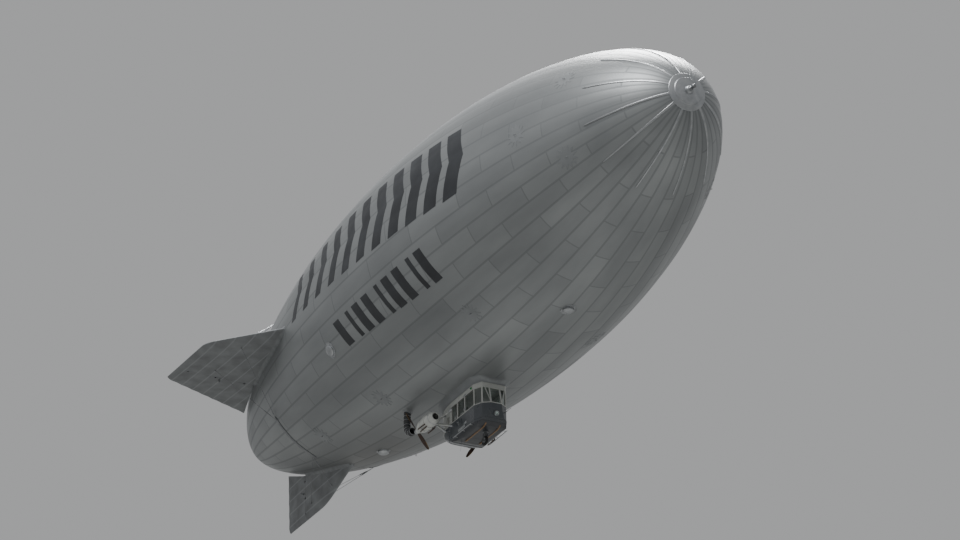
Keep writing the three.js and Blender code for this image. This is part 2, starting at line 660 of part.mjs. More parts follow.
// One blade as sections [distance from the hub, chord, pitch in degrees, thickness].
const BLADE = [
  [60, 105, 52, 66],
  [200, 140, 42, 38],
  [470, 165, 28, 23],
  [740, 130, 20, 14],
  [PROPELLER_RADIUS, 55, 17, 8],
];
const BLADE_SECTION = [
  [-0.5, 0], [-0.25, 0.42], [0.1, 0.5], [0.5, 0.05], [0.5, -0.05], [0.1, -0.3], [-0.25, -0.25],
];

function makeBlade(turn) {
  const outlines = BLADE.map(([, chord, pitch, thick]) => {
    const a = (pitch * Math.PI) / 180;
    return BLADE_SECTION.map(([c, t]) => {
      const [u, v] = [c * chord, t * thick];
      return [u * Math.cos(a) - v * Math.sin(a), u * Math.sin(a) + v * Math.cos(a)];
    });
  });
  return loft(outlines, BLADE.map(([h]) => h), (u, v, h) => [u, v, h]).rotate([0, turn, 0]);
}

// Where each outrigger strut stands on the gondola: y and height
const STRUT_FEET = [[1500, -6900], [1500, -5950], [2350, -6850], [2350, -5950]];

function makeOutrigger(side, [x, , z]) {
  const struts = STRUT_FEET.map(([footY, footZ]) => {
    const endY = RING_Y + 20 * Math.sign(footY - 2000);
    const end = [x - side * (COWL_RADIUS + 8), endY, z + 40 * Math.sign(footZ - z)];
    return bar([side * 600, footY, footZ], end, 34, 10);
  });
  const [outside, inside] = [COWL_RADIUS + 24, COWL_RADIUS + 1];
  const discOf = (radius, half) => {
    return spin([[0, -half], [radius, -half], [radius, half], [0, half]], "y", [x, RING_Y, z], COWL_SIDES);
  };
  const frame = join([...struts, discOf(outside, 60)]);
  return frame.subtract(gondolaForm(-SEAM)).subtract(discOf(inside, 400));
}

// A duct that faces the propeller's slipstream and turns up into the envelope.
function makeScoop(side, [x, , z]) {
  const route = new THREE.CatmullRomCurve3([
    new THREE.Vector3(x, SCOOP_Y, z + 180),
    new THREE.Vector3(x, SCOOP_Y + 220, z + 190),
    new THREE.Vector3(x, SCOOP_Y + 460, z + 400),
    new THREE.Vector3(x - side * 20, SCOOP_Y + 540, z + 800),
    new THREE.Vector3(x - side * 60, SCOOP_Y + 540, z + 1500),
  ]);
  const tube = (radius) => {
    const circle = new THREE.Shape().absarc(0, 0, radius, 0, Math.PI * 2, false);
    const options = { extrudePath: route, steps: 9, curveSegments: 6, bevelEnabled: false };
    return solid(new THREE.ExtrudeGeometry(circle, options));
  };
  return tube(SCOOP_RADIUS).subtract(tube(SCOOP_RADIUS - SCOOP_WALL)).subtract(hullCutter);
}

function makeEngines() {
  for (const [name, side] of [["port", 1], ["starboard", -1]]) {
    const at = [side * ENGINE_OFFSET, ENGINE_FRONT, ENGINE_HEIGHT];
    const [x, y, z] = at;
    piece(`cowling_${name}`, makeCowl(at), lightEnamel);
    const block = box([x - 165, y + 330, z - 185], [x + 165, y + 880, z + 185]);
    piece(`engine_${name}`, block.add(bar([x, y + 800, z], [x, HUB_Y - 47, z], 40, 16)), steel);
    const hub = spin([[0, -45], [100, -45], [110, 0], [100, 60], [64, 150], [0, 195]], "y", [0, 0, 0], 20);
    const propeller = join([hub, makeBlade(0), makeBlade(180)]).rotate([0, side * 35, 0]);
    piece(`propeller_${name}`, propeller.translate([x, HUB_Y, z]), darkEnamel);
    piece(`outrigger_${name}`, makeOutrigger(side, at), lightEnamel);
    piece(`air_scoop_${name}`, makeScoop(side, at), darkFabric);
  }
}

// The landing wheel: a leg under the gondola, a fork that swivels on it, an axle, a rim and a tyre
const LEG_LENGTH = 70;
const LEG_FOOT = CABIN_BOTTOM - SEAM - LEG_LENGTH;
const CROWN_TOP = LEG_FOOT - 6;
const CROWN_THICKNESS = 40;
const TYRE_CLEARANCE = 22;
const AXLE_Z = CROWN_TOP - CROWN_THICKNESS - TYRE_CLEARANCE - WHEEL_RADIUS;
const AXLE_Y = GEAR_Y + WHEEL_TRAIL;
const AXLE_RADIUS = 15;
const FORK_INNER = WHEEL_HALF_WIDTH + 12;
const FORK_PLATE = 22;

function makeLandingGear() {
  const legProfile = [[0, 0], [120, 0], [120, -22], [78, -40], [78, -LEG_LENGTH], [0, -LEG_LENGTH]];
  const leg = spin(legProfile, "z", [0, GEAR_Y, CABIN_BOTTOM - SEAM], 24);
  const bore = bar([0, GEAR_Y, LEG_FOOT - 10], [0, GEAR_Y, LEG_FOOT + 55], 34, 20);
  piece("landing_leg", leg.subtract(bore), steel);
  const kingpin = bar([0, GEAR_Y, CROWN_TOP - 20], [0, GEAR_Y, LEG_FOOT + 48], 32, 20);
  const half = FORK_INNER + FORK_PLATE;
  const crown = box([-half, GEAR_Y - 65, CROWN_TOP - CROWN_THICKNESS], [half, GEAR_Y + 65, CROWN_TOP]);
  const plates = [FORK_INNER, -half].map((from) => {
    const outline = [
      [GEAR_Y - 65, CROWN_TOP - 20], [GEAR_Y + 65, CROWN_TOP - 20], [AXLE_Y + 42, AXLE_Z],
      [AXLE_Y + 24, AXLE_Z - 38], [AXLE_Y - 24, AXLE_Z - 38], [AXLE_Y - 42, AXLE_Z],
    ];
    return extrude(outlineOf(outline), "x", from, from + FORK_PLATE);
  });
  const axleHole = bar([-200, AXLE_Y, AXLE_Z], [200, AXLE_Y, AXLE_Z], AXLE_RADIUS + SEAM, 16);
  piece("landing_fork", join([kingpin, crown, ...plates]).subtract(axleHole), steel);
  const axle = bar([-half - 16, AXLE_Y, AXLE_Z], [half + 16, AXLE_Y, AXLE_Z], AXLE_RADIUS, 16);
  piece("landing_axle", axle, bareMetal);
  // Half sections from the outer face to the middle plane, mirrored by their distances
  const whole = (section) => [...section, ...section.map(([r, d]) => [r, -d]).reverse()];
  const rimHalf = [[18, -57], [42, -57], [42, -28], [95, -18], [105, -50], [121, -54], [111, -1]];
  piece("wheel_rim", spin([...whole(rimHalf), rimHalf[0]], "x", [0, AXLE_Y, AXLE_Z], 28), bareMetal);
  const w = WHEEL_HALF_WIDTH;
  const tyreHalf = [[112, -1], [122, -53], [134, -59], [160, -w], [188, -55], [204, -34], [WHEEL_RADIUS, -8]];
  piece("wheel_tyre", spin([...whole(tyreHalf), tyreHalf[0]], "x", [0, AXLE_Y, AXLE_Z], 28), rubber);
}

makeEnvelope();
makeNose();
makeTail();
makeStays();
makeGondola();
makeCabin();
makeRails();
makeEngines();
makeLandingGear();

export default airship;
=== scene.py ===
# %% [markdown]
# # A crewed advertising blimp, dressed round its CAD frame
# A blimp is a gas bag that keeps its shape by pressure alone. Everything rigid hangs from the fabric:
# the gondola with its engines below, the fins at the tail, and the battens that stiffen the nose.
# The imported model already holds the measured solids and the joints, so this lesson loads it as a fixed
# frame and never moves it. Each new piece is made in the same frame, in metres, and rides on a body.

import bmesh
import bpy
import numpy as np
from mathutils import Matrix, Vector


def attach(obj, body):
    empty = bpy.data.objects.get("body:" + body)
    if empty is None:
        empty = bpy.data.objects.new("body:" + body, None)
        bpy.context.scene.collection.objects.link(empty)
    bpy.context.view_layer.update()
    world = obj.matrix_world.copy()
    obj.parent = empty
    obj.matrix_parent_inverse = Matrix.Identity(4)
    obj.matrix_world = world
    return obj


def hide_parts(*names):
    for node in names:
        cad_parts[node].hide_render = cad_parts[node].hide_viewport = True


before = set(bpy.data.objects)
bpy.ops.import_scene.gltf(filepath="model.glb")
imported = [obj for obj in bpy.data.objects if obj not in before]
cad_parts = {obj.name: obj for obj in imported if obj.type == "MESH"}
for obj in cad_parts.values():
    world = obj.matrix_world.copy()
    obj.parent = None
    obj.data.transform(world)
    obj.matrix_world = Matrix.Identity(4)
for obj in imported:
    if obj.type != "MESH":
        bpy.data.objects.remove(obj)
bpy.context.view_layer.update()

# %% [markdown]
# ## The camera
# The film shows the blimp from ahead, from its starboard side and from well below, through a long lens,
# so nearly parallel lines stay parallel. The camera stands on the floor and looks up at it. A long lens
# at the real distance gives the same picture as the film; a short lens close by would swell the nose.

# %% Camera
AZIMUTH, ELEVATION, ROLL = np.radians([-28.3, -25.8, -1.4])
DISTANCE, FIELD_WIDTH, SENSOR_MM = 350.0, 40.0, 36.0
AIM = np.array([0.0, 0.3, -0.1])
EYE_HEIGHT, FARTHEST = 1.6, 60000.0


def camera_axes():
    """The camera's right, up and back vectors, turned about the line of sight by the roll."""
    sin_a, cos_a = np.sin(AZIMUTH), np.cos(AZIMUTH)
    back = np.array([sin_a * np.cos(ELEVATION), -cos_a * np.cos(ELEVATION), np.sin(ELEVATION)])
    right = np.array([cos_a, sin_a, 0.0])
    up = np.cross(back, right)
    turned = right * np.cos(ROLL) + up * np.sin(ROLL)
    return turned, np.cross(back, turned), back


RIGHT, UP, BACK = camera_axes()
camera = bpy.data.objects.new("camera", bpy.data.cameras.new("camera"))
bpy.context.scene.collection.objects.link(camera)
camera.data.sensor_width = SENSOR_MM
camera.data.lens = SENSOR_MM * DISTANCE / FIELD_WIDTH
camera.data.clip_end = FARTHEST
camera_place = AIM + BACK * DISTANCE
camera.matrix_world = Matrix(np.column_stack([RIGHT, UP, BACK]).tolist()).to_4x4()
camera.location = camera_place.tolist()
bpy.context.scene.camera = camera
FLOOR_HEIGHT = float(camera_place[2]) - EYE_HEIGHT
print("lens", round(camera.data.lens), "mm, floor at", round(FLOOR_HEIGHT, 1), "m")

# %% [markdown]
# ## Colours and nodes
# Paint charts give colours as sRGB hex codes, but the renderer adds up light in linear numbers, so one
# function turns the first into the second. Materials are small node trees. One more function adds a node,
# sets its options and fills its inputs, so that a finish reads as a short recipe.

# %% Colours and nodes
def srgb(code):
    """A hex colour as linear RGBA: c / 12.92 up to 0.04045, and ((c + 0.055) / 1.055) ^ 2.4 above it."""
    c = np.array([int(code[i : i + 2], 16) for i in (1, 3, 5)]) / 255
    linear = np.where(c <= 0.04045, c / 12.92, ((c + 0.055) / 1.055) ** 2.4)
    return (*linear.tolist(), 1.0)


def add(material, kind, inputs=(), **settings):
    """Adds one node to a material: its settings, its input values, and the links into it."""
    tree = material.node_tree
    made = tree.nodes.new(kind)
    for key, value in settings.items():
        setattr(made, key, value)
    for key, value in dict(inputs).items():
        if isinstance(value, bpy.types.NodeSocket):
            tree.links.new(value, made.inputs[key])
        else:
            made.inputs[key].default_value = value
    return made


print("mid grey in linear light:", round(srgb("#808080")[0], 3))

# %% [markdown]
# ### Patterns and sums
# Wear, dust and panels are numbers that change from point to point. A texture node gives such a number
# from Object coordinates, so the pattern stays fixed to the craft. Arithmetic nodes turn it into a share,
# and a mix of two colours by that share is a finish.

# %% Patterns and sums
def noise(material, place, size_mm, detail=2.0):
    """A noise whose grains are about size_mm long: its scale is a thousand over that, as it is per metre."""
    inputs = {"Vector": place, "Scale": 1000.0 / size_mm, "Detail": detail}
    return add(material, "ShaderNodeTexNoise", inputs).outputs["Fac"]


def mixed(material, factor, low, high):
    """A colour between low and high by a factor. Each of the two is a hex code or another node's output."""
    node = add(material, "ShaderNodeMix", data_type="RGBA")
    for socket, value in ((0, factor), (6, low), (7, high)):
        if isinstance(value, str):
            node.inputs[socket].default_value = srgb(value)
        else:
            material.node_tree.links.new(value, node.inputs[socket])
    return node.outputs[2]


def spread(material, value, low, high, to_low=0.0, to_high=1.0):
    """A number moved in a straight line from low and high to to_low and to_high, and held there."""
    inputs = {"Value": value, "From Min": low, "From Max": high, "To Min": to_low, "To Max": to_high}
    return add(material, "ShaderNodeMapRange", inputs).outputs["Result"]


def sums(material, operation, *values):
    """One step of arithmetic on numbers or other nodes' outputs."""
    node = add(material, "ShaderNodeMath", operation=operation)
    for socket, value in enumerate(values):
        if isinstance(value, bpy.types.NodeSocket):
            material.node_tree.links.new(value, node.inputs[socket])
        else:
            node.inputs[socket].default_value = value
    return node.outputs[0]


def times(material, a, b):
    """The product of two numbers or outputs."""
    return sums(material, "MULTIPLY", a, b)


def to_whole(material, value):
    """How far a number is from the nearest whole one: |fract(value + 1/2) - 1/2|."""
    share = sums(material, "FRACT", sums(material, "ADD", value, 0.5))
    return sums(material, "ABSOLUTE", sums(material, "SUBTRACT", share, 0.5))

# %% [markdown]
# ### One skeleton for every finish
# Each finish has a colour and a roughness that vary together, and a relief. Where paint has worn it is
# both paler and rougher, so one broad noise drives both, and a fine one gives the relief.


def new_material(name, slot, **sockets):
    """A material with its shader and its Object coordinates. sockets are constant values of the shader."""
    material = bpy.data.materials.new(name)
    material.use_nodes = True
    shader = material.node_tree.nodes["Principled BSDF"]
    for key, value in sockets.items():
        shader.inputs[key.replace("_", " ")].default_value = value
    return material, shader, add(material, "ShaderNodeTexCoord").outputs["Object"]


def dressed(material, shader, colour, rough, relief, strength, depth_mm, **settings):
    """The material with a colour, a roughness and a relief depth_mm deep linked into its shader."""
    inputs = {"Height": relief, "Strength": strength, "Distance": depth_mm / 1000}
    normal = add(material, "ShaderNodeBump", inputs, **settings).outputs["Normal"]
    for output, socket in ((colour, "Base Color"), (rough, "Roughness"), (normal, "Normal")):
        material.node_tree.links.new(output, shader.inputs[socket])
    return material


ROUGH_SWING = 0.08


def finish(name, slot, light, dark, roughness, mottle_mm, grain_mm, relief_mm, **sockets):
    """A finish from two close colours mixed by a broad noise, mottle_mm long, which also moves the
    roughness by ROUGH_SWING each way, and a relief of relief_mm from a fine noise, grain_mm long."""
    m, shader, place = new_material(name, slot, **sockets)
    broad, fine = noise(m, place, mottle_mm, 4.0), noise(m, place, grain_mm, 4.0)
    colour = mixed(m, spread(m, broad, 0.32, 0.68), dark, light)
    duller, shinier = min(roughness + ROUGH_SWING, 1.0), max(roughness - ROUGH_SWING, 0.02)
    return dressed(m, shader, colour, spread(m, broad, 0.3, 0.7, duller, shinier), fine, 0.6, relief_mm)

# %% [markdown]
# ## Surfaces from formulas
# Nearly every part of an airship is a turned, swept or stretched surface. Each is written here as a
# function of two parameters, worked out for a whole grid of points at once. Some sums come back in many of
# them, so they are named first.

# %% Sums on arrays
def unit(vectors):
    """Vectors made one unit long."""
    return vectors / np.linalg.norm(vectors, axis=-1, keepdims=True)


def full_turn(steps):
    """Angles at even steps once round: 2 pi k / steps."""
    return np.linspace(0, 2 * np.pi, steps, endpoint=False)


def signed_power(value, power):
    """A number raised to a power with its sign kept: sign(v) |v|^p."""
    return np.sign(value) * np.abs(value) ** power


def distance_run(path):
    """How far along a path each of its points is."""
    return np.concatenate([[0], np.cumsum(np.linalg.norm(np.diff(path, axis=0), axis=1))])


def quadratic(start, middle, end, t):
    """The curve (1-t)^2 start + 2t(1-t) middle + t^2 end."""
    return (1 - t) ** 2 * start + 2 * t * (1 - t) * middle + t**2 * end


print("three points 1 m apart lie at", distance_run([(0, 0), (1, 0), (2, 0)]))

# %% [markdown]
# ### Grids, turned profiles and tubes
# Three builders turn points into faces: an open or closed grid, a profile turned about an axis, and circles
# carried along a path. Turning gives a smooth round form from a handful of measured radii.

# %% Grids, turned profiles and tubes
def grid(points, wrap_rows=False, wrap_columns=False, caps=False):
    """Four-sided faces between neighbouring rows and columns of points. caps closes the end rows."""
    rows, columns = points.shape[:2]
    i = np.arange(rows if wrap_rows else rows - 1)
    j = np.arange(columns if wrap_columns else columns - 1)
    i, j = np.meshgrid(i, j, indexing="ij")
    k, m = (i + 1) % rows, (j + 1) % columns
    quads = np.stack([i * columns + j, i * columns + m, k * columns + m, k * columns + j], -1)
    faces = quads.reshape(-1, 4).tolist()
    if caps:
        last = (rows - 1) * columns
        faces += [list(range(columns))[::-1], list(range(last, last + columns))]
    return points.reshape(-1, 3), faces


TURN_ORDER = {"x": (2, 0, 1), "y": (0, 2, 1), "z": (0, 1, 2)}


def lathe(profile, axis, at=(0, 0, 0), sides=48, closed=False):
    """A profile of (radius, distance) pairs turned about an axis: radius cos a, radius sin a, distance."""
    profile = np.asarray(profile, float)
    a = full_turn(sides)
    radius, distance = profile[:, :1], profile[:, 1:]
    turned = [radius * np.cos(a), radius * np.sin(a), distance + 0 * a]
    points = np.stack([turned[k] for k in TURN_ORDER[axis]], -1) + np.asarray(at, float)
    return grid(points, wrap_rows=closed, wrap_columns=True)


def tube(path, radius, sides=8, loop=False):
    """Circles stood square to a path: centre + radius (cos a · side + sin a · up)."""
    path = np.asarray(path, float)
    along = unit(np.roll(path, -1, 0) - np.roll(path, 1, 0) if loop else np.gradient(path, axis=0))
    level = np.eye(3)[np.argmin(np.abs(along).max(0))]
    side = unit(np.cross(along, level))
    up = np.cross(side, along)
    a = full_turn(sides)[:, None]
    size = np.broadcast_to(np.asarray(radius, float), len(path))[:, None, None]
    ring = np.cos(a) * side[:, None] + np.sin(a) * up[:, None]
    return grid(path[:, None] + size * ring, wrap_rows=loop, wrap_columns=True, caps=not loop)


print("points of a plain cylinder:", len(lathe([(1, 0), (1, 1)], "z")[0]))

# %% [markdown]
# ### Plates, shells and studs
# Sheet and cloth have two faces and a rim, so a plate closes the gap between two grids. A single open face
# would look right from one side only, and its edge would have no thickness.

# %% Plates, shells and studs
def plate(top, bottom):
    """A closed plate between two grids of points: one face of it, the other turned over, and the rim."""
    rows, columns = top.shape[:2]
    _, faces = grid(top)
    faces = np.array(faces)
    index = np.arange(rows * columns).reshape(rows, columns)
    edge = np.concatenate([index[0, :-1], index[:-1, -1], index[-1, :0:-1], index[:0:-1, 0]])
    after = np.roll(edge, -1)
    count = rows * columns
    rim = np.stack([after, edge, edge + count, after + count], -1)
    points = np.concatenate([top.reshape(-1, 3), bottom.reshape(-1, 3)])
    return points, faces.tolist() + (faces[:, ::-1] + count).tolist() + rim.tolist()


def prism(outline, step):
    """A flat outline carried along one step, with both ends closed."""
    outline = np.asarray(outline, float)
    return grid(np.stack([outline, outline + np.asarray(step, float)]), wrap_columns=True, caps=True)


def shell(face, back):
    """Rows that go out along one face and come back along another, closed both ways: cloth or a wall."""
    return grid(np.concatenate([face, back[::-1]]), wrap_rows=True, wrap_columns=True)


def pipe(path, outer, inner, sides):
    """A tube with a wall, open at both ends: circles of the outer and the inner radius along one path."""
    return shell(*(tube(path, size, sides)[0].reshape(len(path), sides, 3) for size in (outer, inner)))


def studs(places, outward, radius, height, sides=6):
    """A low dome at each place: rings at the foot and at two thirds of the radius, and a point on top."""
    places = np.asarray(places, float)
    outward = unit(np.broadcast_to(np.asarray(outward, float), places.shape))
    side = unit(np.cross(outward, [0.31, 0.53, 0.79]))
    up = np.cross(outward, side)
    a = full_turn(sides)
    circle = np.stack([np.cos(a), np.sin(a)], -1) * radius
    rings = [(1.0, -0.1), (0.68, 0.75), (0.0, 1.0)]
    across = circle[:, :1] * side[:, None] + circle[:, 1:] * up[:, None]
    points = [places[:, None] + share * across + rise * height * outward[:, None] for share, rise in rings]
    j = np.arange(sides)
    m = (j + 1) % sides
    one = np.concatenate([np.stack([k + j, k + m, k + sides + m, k + sides + j], -1) for k in (0, sides)])
    start = np.arange(len(places))[:, None] * len(rings) * sides
    faces = (one[None] + start[:, None]).reshape(-1, 4).tolist() + (j[::-1][None] + start).tolist()
    return np.stack(points, 1).reshape(-1, 3), faces


print("points of one stud:", len(studs([(0, 0, 0)], (0, 0, 1.0), 0.01, 0.005)[0]))

# %% [markdown]
# ### From parts to an object
# Parts that share a finish and a body become one object. Its edges stay sharp only where the sheet really
# is folded, and the object is parented to an empty named for the body that carries it.

# %% Objects from parts
MERGE, SLIVER = 1e-5, 1e-6


def piece(name, parts, material, body="airframe", replaces=None, crease=40.0, values=None):
    """One object from (points, faces) parts. Doubled points are merged, faces turned outwards, edges
    sharper than crease degrees kept sharp, and the object rides on a body of the frame. It may stand for
    one of the frame's nodes, and values are numbers kept at its points."""
    parts = parts if isinstance(parts, list) else [parts]
    starts = np.cumsum([0] + [len(points) for points, _ in parts])
    points = np.concatenate([points for points, _ in parts])
    faces = [[k + int(start) for k in face] for (_, part), start in zip(parts, starts) for face in part]
    mesh = bpy.data.meshes.new(name)
    mesh.from_pydata(points.tolist(), [], faces)
    for key, numbers in (values or {}).items():
        layer = mesh.attributes.new(key, "FLOAT", "POINT")
        layer.data.foreach_set("value", numbers.astype(np.float32).ravel())
    work = bmesh.new()
    work.from_mesh(mesh)
    bmesh.ops.remove_doubles(work, verts=work.verts, dist=MERGE)
    bmesh.ops.dissolve_degenerate(work, edges=work.edges, dist=SLIVER)
    bmesh.ops.recalc_face_normals(work, faces=work.faces)
    work.to_mesh(mesh)
    work.free()
    mesh.shade_smooth()
    mesh.set_sharp_from_angle(angle=np.radians(crease))
    mesh.materials.append(material)
    made = bpy.data.objects.new(name, mesh)
    bpy.context.scene.collection.objects.link(made)
    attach(made, body)
    if replaces:
        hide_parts(replaces)
    print(f"{name}: {len(mesh.vertices)} points, {len(mesh.polygons)} faces on {body}")
    return made


def mirrored(part):
    """The same part on the other side of the craft, its faces turned round to keep facing out."""
    points, faces = part
    return points * np.array([-1.0, 1.0, 1.0]), [face[::-1] for face in faces]

# %% [markdown]
# ## The gas envelope
# The envelope is sewn and cemented from long strips of rubberised cotton, the gores, that run from nose to
# tail, each pieced together from shorter panels. Gas pressure bulges every gore a little between its taped
# seams. A smooth spindle would show none of this, and a bump map would leave the outline smooth, so the
# bulges are in the surface itself: the radius is a little smaller along each seam. On top, the curtains
# that carry the gondola pull two scalloped lines into the fabric.

# %% Envelope surface
HULL_LENGTH, HULL_RADIUS = 38.4, 5.565
WIDEST, TAIL_POWER, BUOYANCY = 0.43, 0.67, 0.46
GORES, GORE_STEPS = 40, 6
NOSE_ROWS, TAIL_ROWS = 90, 120
SEAM_DEPTH = 0.0017
CURTAIN_TURN, CURTAIN_SCALLOP, CURTAIN_PITCH = np.radians(27), np.radians(2.2), 2.4
CURTAIN_PULL, CURTAIN_WIDTH = 0.016, 0.2
CURTAIN_FRONT, CURTAIN_BACK, CURTAIN_FADE, RIPPLE = -12.5, 11.0, 2.0, 0.001


def station_y(station):
    """The place along the craft of a station: 0 is the nose's tip and 1 the tail's."""
    return (station - BUOYANCY) * HULL_LENGTH


def hull_radius(y):
    """R sqrt(1 - (1 - s / w)^2) up to the widest station w, and R (1 - ((s - w) / (1 - w))^2)^p after it."""
    s = np.clip(np.asarray(y, float) / HULL_LENGTH + BUOYANCY, 0, 1)
    nose = np.sqrt(np.maximum(1 - (1 - s / WIDEST) ** 2, 0))
    tail = np.maximum(1 - ((s - WIDEST) / (1 - WIDEST)) ** 2, 0) ** TAIL_POWER
    return HULL_RADIUS * np.where(s < WIDEST, nose, tail)


def round_axis(radius, y, turn):
    """A point at a distance from the craft's axis: (radius sin turn, y, radius cos turn)."""
    return np.stack(np.broadcast_arrays(radius * np.sin(turn), y, radius * np.cos(turn)), -1)


def hull_point(y, turn, lift=0.0):
    """A point of the envelope. turn goes from straight up to port. The radius shrinks by SEAM_DEPTH at
    each seam and less by a parabola between them, ripples by up to 3 mm, and dips along the two curtain
    lines."""
    y, turn = np.broadcast_arrays(np.asarray(y, float), np.asarray(turn, float))
    radius = hull_radius(y)
    across = (turn * GORES / (2 * np.pi)) % 1.0
    bulge = 4 * across * (1 - across)
    ripple = np.sin(3 * turn + 0.9 * y) + np.sin(5 * turn - 1.7 * y + 1.0) + np.sin(7 * turn + 2.9 * y)
    arch = np.abs(np.sin(np.pi * y / CURTAIN_PITCH))
    near = (np.abs((turn + np.pi) % (2 * np.pi) - np.pi) - CURTAIN_TURN - CURTAIN_SCALLOP * arch) * radius
    ends = np.clip((y - CURTAIN_FRONT) / CURTAIN_FADE, 0, 1)
    ends = ends * np.clip((CURTAIN_BACK - y) / CURTAIN_FADE, 0, 1)
    dip = CURTAIN_PULL * np.exp(-((near / CURTAIN_WIDTH) ** 2)) * ends
    wavy = RIPPLE * ripple * radius / HULL_RADIUS
    return round_axis(np.maximum(radius * (1 - SEAM_DEPTH * (1 - bulge)) + wavy - dip + lift, 0), y, turn)


def on_hull(y, turn, lift, depth=0.02):
    """A plate laid on the envelope: its outer face stands lift over the fabric, its inner one depth under."""
    return plate(hull_point(y, turn, lift), hull_point(y, turn, -depth))


nose_angle = np.linspace(0, np.pi / 2, NOSE_ROWS, endpoint=False)
tail_angle = np.linspace(0, np.pi / 2, TAIL_ROWS)
hull_y = np.concatenate([
    station_y(0) + WIDEST * HULL_LENGTH * (1 - np.cos(nose_angle)),
    station_y(WIDEST) + (1 - WIDEST) * HULL_LENGTH * np.sin(tail_angle),
])
hull_turn = full_turn(GORES * GORE_STEPS)
hull_grid = hull_point(hull_y[:, None], hull_turn[None])
hull_grid[[0, -1], :, ::2] = 0.0
print("envelope grid", hull_grid.shape, "seam depth", round(SEAM_DEPTH * HULL_RADIUS * 1000, 1), "mm")

# %% [markdown]
# ### Aluminium dope
# Silver airship fabric is cotton brushed with dope that carries aluminium powder. It shines softly, like
# dull metal, and its flakes lie a little differently on each panel, so neighbouring panels differ in tone.
# The seams are covered with tape 70 mm wide. The pattern follows the angle round the craft and the distance
# along it, both taken from Object coordinates. Exhaust leaves a faint brown-grey trail under the tail.

# %% Envelope finish
PANEL_LENGTH, TAPE_HALF, TAPE_EDGE = 3.6, 0.035, 0.012
SLUB_MM = 35  # the threads are under 1 mm apart, which no view shows; this is the coarsest slub


def envelope_finish():
    """Tone by panel and by weather, dark tape edges on the seams, and relief from tape and slubs."""
    m, shader, place = new_material("aluminium_doped_cotton", "silver_dope", Metallic=0.62)
    x, y, z = add(m, "ShaderNodeSeparateXYZ", {"Vector": place}).outputs
    ring = sums(m, "SQRT", sums(m, "ADD", times(m, x, x), times(m, z, z)))
    gore = times(m, sums(m, "ARCTAN2", x, z), GORES / (2 * np.pi))
    gore_index = sums(m, "FLOOR", gore)
    odd = sums(m, "FLOORED_MODULO", gore_index, 2.0)
    panel = sums(m, "ADD", sums(m, "DIVIDE", y, PANEL_LENGTH), times(m, odd, 0.5))
    from_seam = times(m, times(m, to_whole(m, gore), ring), 2 * np.pi / GORES)
    from_cross = times(m, to_whole(m, panel), PANEL_LENGTH)
    along = spread(m, from_seam, TAPE_HALF, TAPE_HALF + TAPE_EDGE, 1.0, 0.0)
    across = spread(m, from_cross, TAPE_HALF * 0.7, TAPE_HALF * 0.7 + TAPE_EDGE, 1.0, 0.0)
    tape = sums(m, "MAXIMUM", along, across)
    cell = add(m, "ShaderNodeCombineXYZ", {"X": gore_index, "Y": sums(m, "FLOOR", panel)}).outputs[0]
    tone = add(m, "ShaderNodeTexWhiteNoise", {"Vector": cell}, noise_dimensions="3D").outputs["Value"]
    drawn = add(m, "ShaderNodeMapping", {"Vector": place, "Scale": (1.0, 0.22, 1.0)}).outputs[0]
    weather, slubs = noise(m, drawn, 1600, 6.0), noise(m, place, SLUB_MM)
    shade = sums(m, "ADD", times(m, tone, 0.2), times(m, weather, 0.9))
    colour = mixed(m, spread(m, shade, 0.2, 0.95), "#7f8284", "#a5a8a9")
    colour = mixed(m, times(m, tape, 0.4), colour, "#6e7173")
    width = sums(m, "SUBTRACT", 1.0, spread(m, sums(m, "ABSOLUTE", x), 0.5, 2.6))
    reach = times(m, spread(m, y, 3.5, 8.0), spread(m, y, 20.0, 11.0))
    soot = times(m, times(m, width, reach), times(m, spread(m, z, -1.2, -2.4), weather))
    colour = mixed(m, times(m, soot, 0.75), colour, "#4b4742")
    rough = sums(m, "ADD", spread(m, shade, 0.2, 0.95, 0.5, 0.36), times(m, tape, 0.08))
    height = sums(m, "ADD", tape, times(m, slubs, 0.35))
    return dressed(m, shader, colour, rough, height, 0.5, 2)


doped_cotton = envelope_finish()
piece("envelope_fabric", grid(hull_grid, wrap_columns=True), doped_cotton, replaces="envelope", crease=75)

# %% [markdown]
# ## The fins and their rudders and elevators
# Each fin is a light frame of spars and ribs with doped fabric drawn tight over it. The fabric sinks a
# little between ribs, and along the trailing edge it pulls the edge wire in, so that the edge is scalloped
# from rib to rib. That is a height field over the aerofoil: the half thickness from the four-digit formula,
# less a dip that is nothing at each rib. One function makes the fixed fins and one the hinged surfaces, and
# each is turned about the craft's axis to its quarter.

# %% Fin forms
FIN_THICKNESS, FIN_EDGE = 0.045, 0.010
TIP_ROUNDING, COVE_GAP = 0.32, 0.012
RIB_PITCH, RIB_DIP, EDGE_SCALLOP = 0.6, 0.011, 0.028
MAIN_FIN = {
    "leading": ((4.733, station_y(0.694)), (7.15, station_y(0.765))),
    "trailing": ((2.366, station_y(0.914)), (7.15, station_y(0.865))),
    "hinge": station_y(0.836), "root": 3.54, "slope": 0.34, "tip": 7.15, "stay": (5.7, np.radians(36)),
}
BOTTOM_FIN = {
    "leading": ((3.9, station_y(0.76)), (4.95, station_y(0.842))),
    "trailing": ((2.0, station_y(0.934)), (4.95, station_y(0.934))),
    "hinge": station_y(0.889), "root": 2.89, "slope": 0.42, "tip": 4.95, "stay": (4.4, np.radians(22)),
}
TAIL = {
    "top": (0.0, MAIN_FIN, "rudder_top"),
    "port": (np.pi / 2, MAIN_FIN, "elevator_port"),
    "bottom": (np.pi, BOTTOM_FIN, "rudder_bottom"),
    "starboard": (-np.pi / 2, MAIN_FIN, "elevator_starboard"),
}


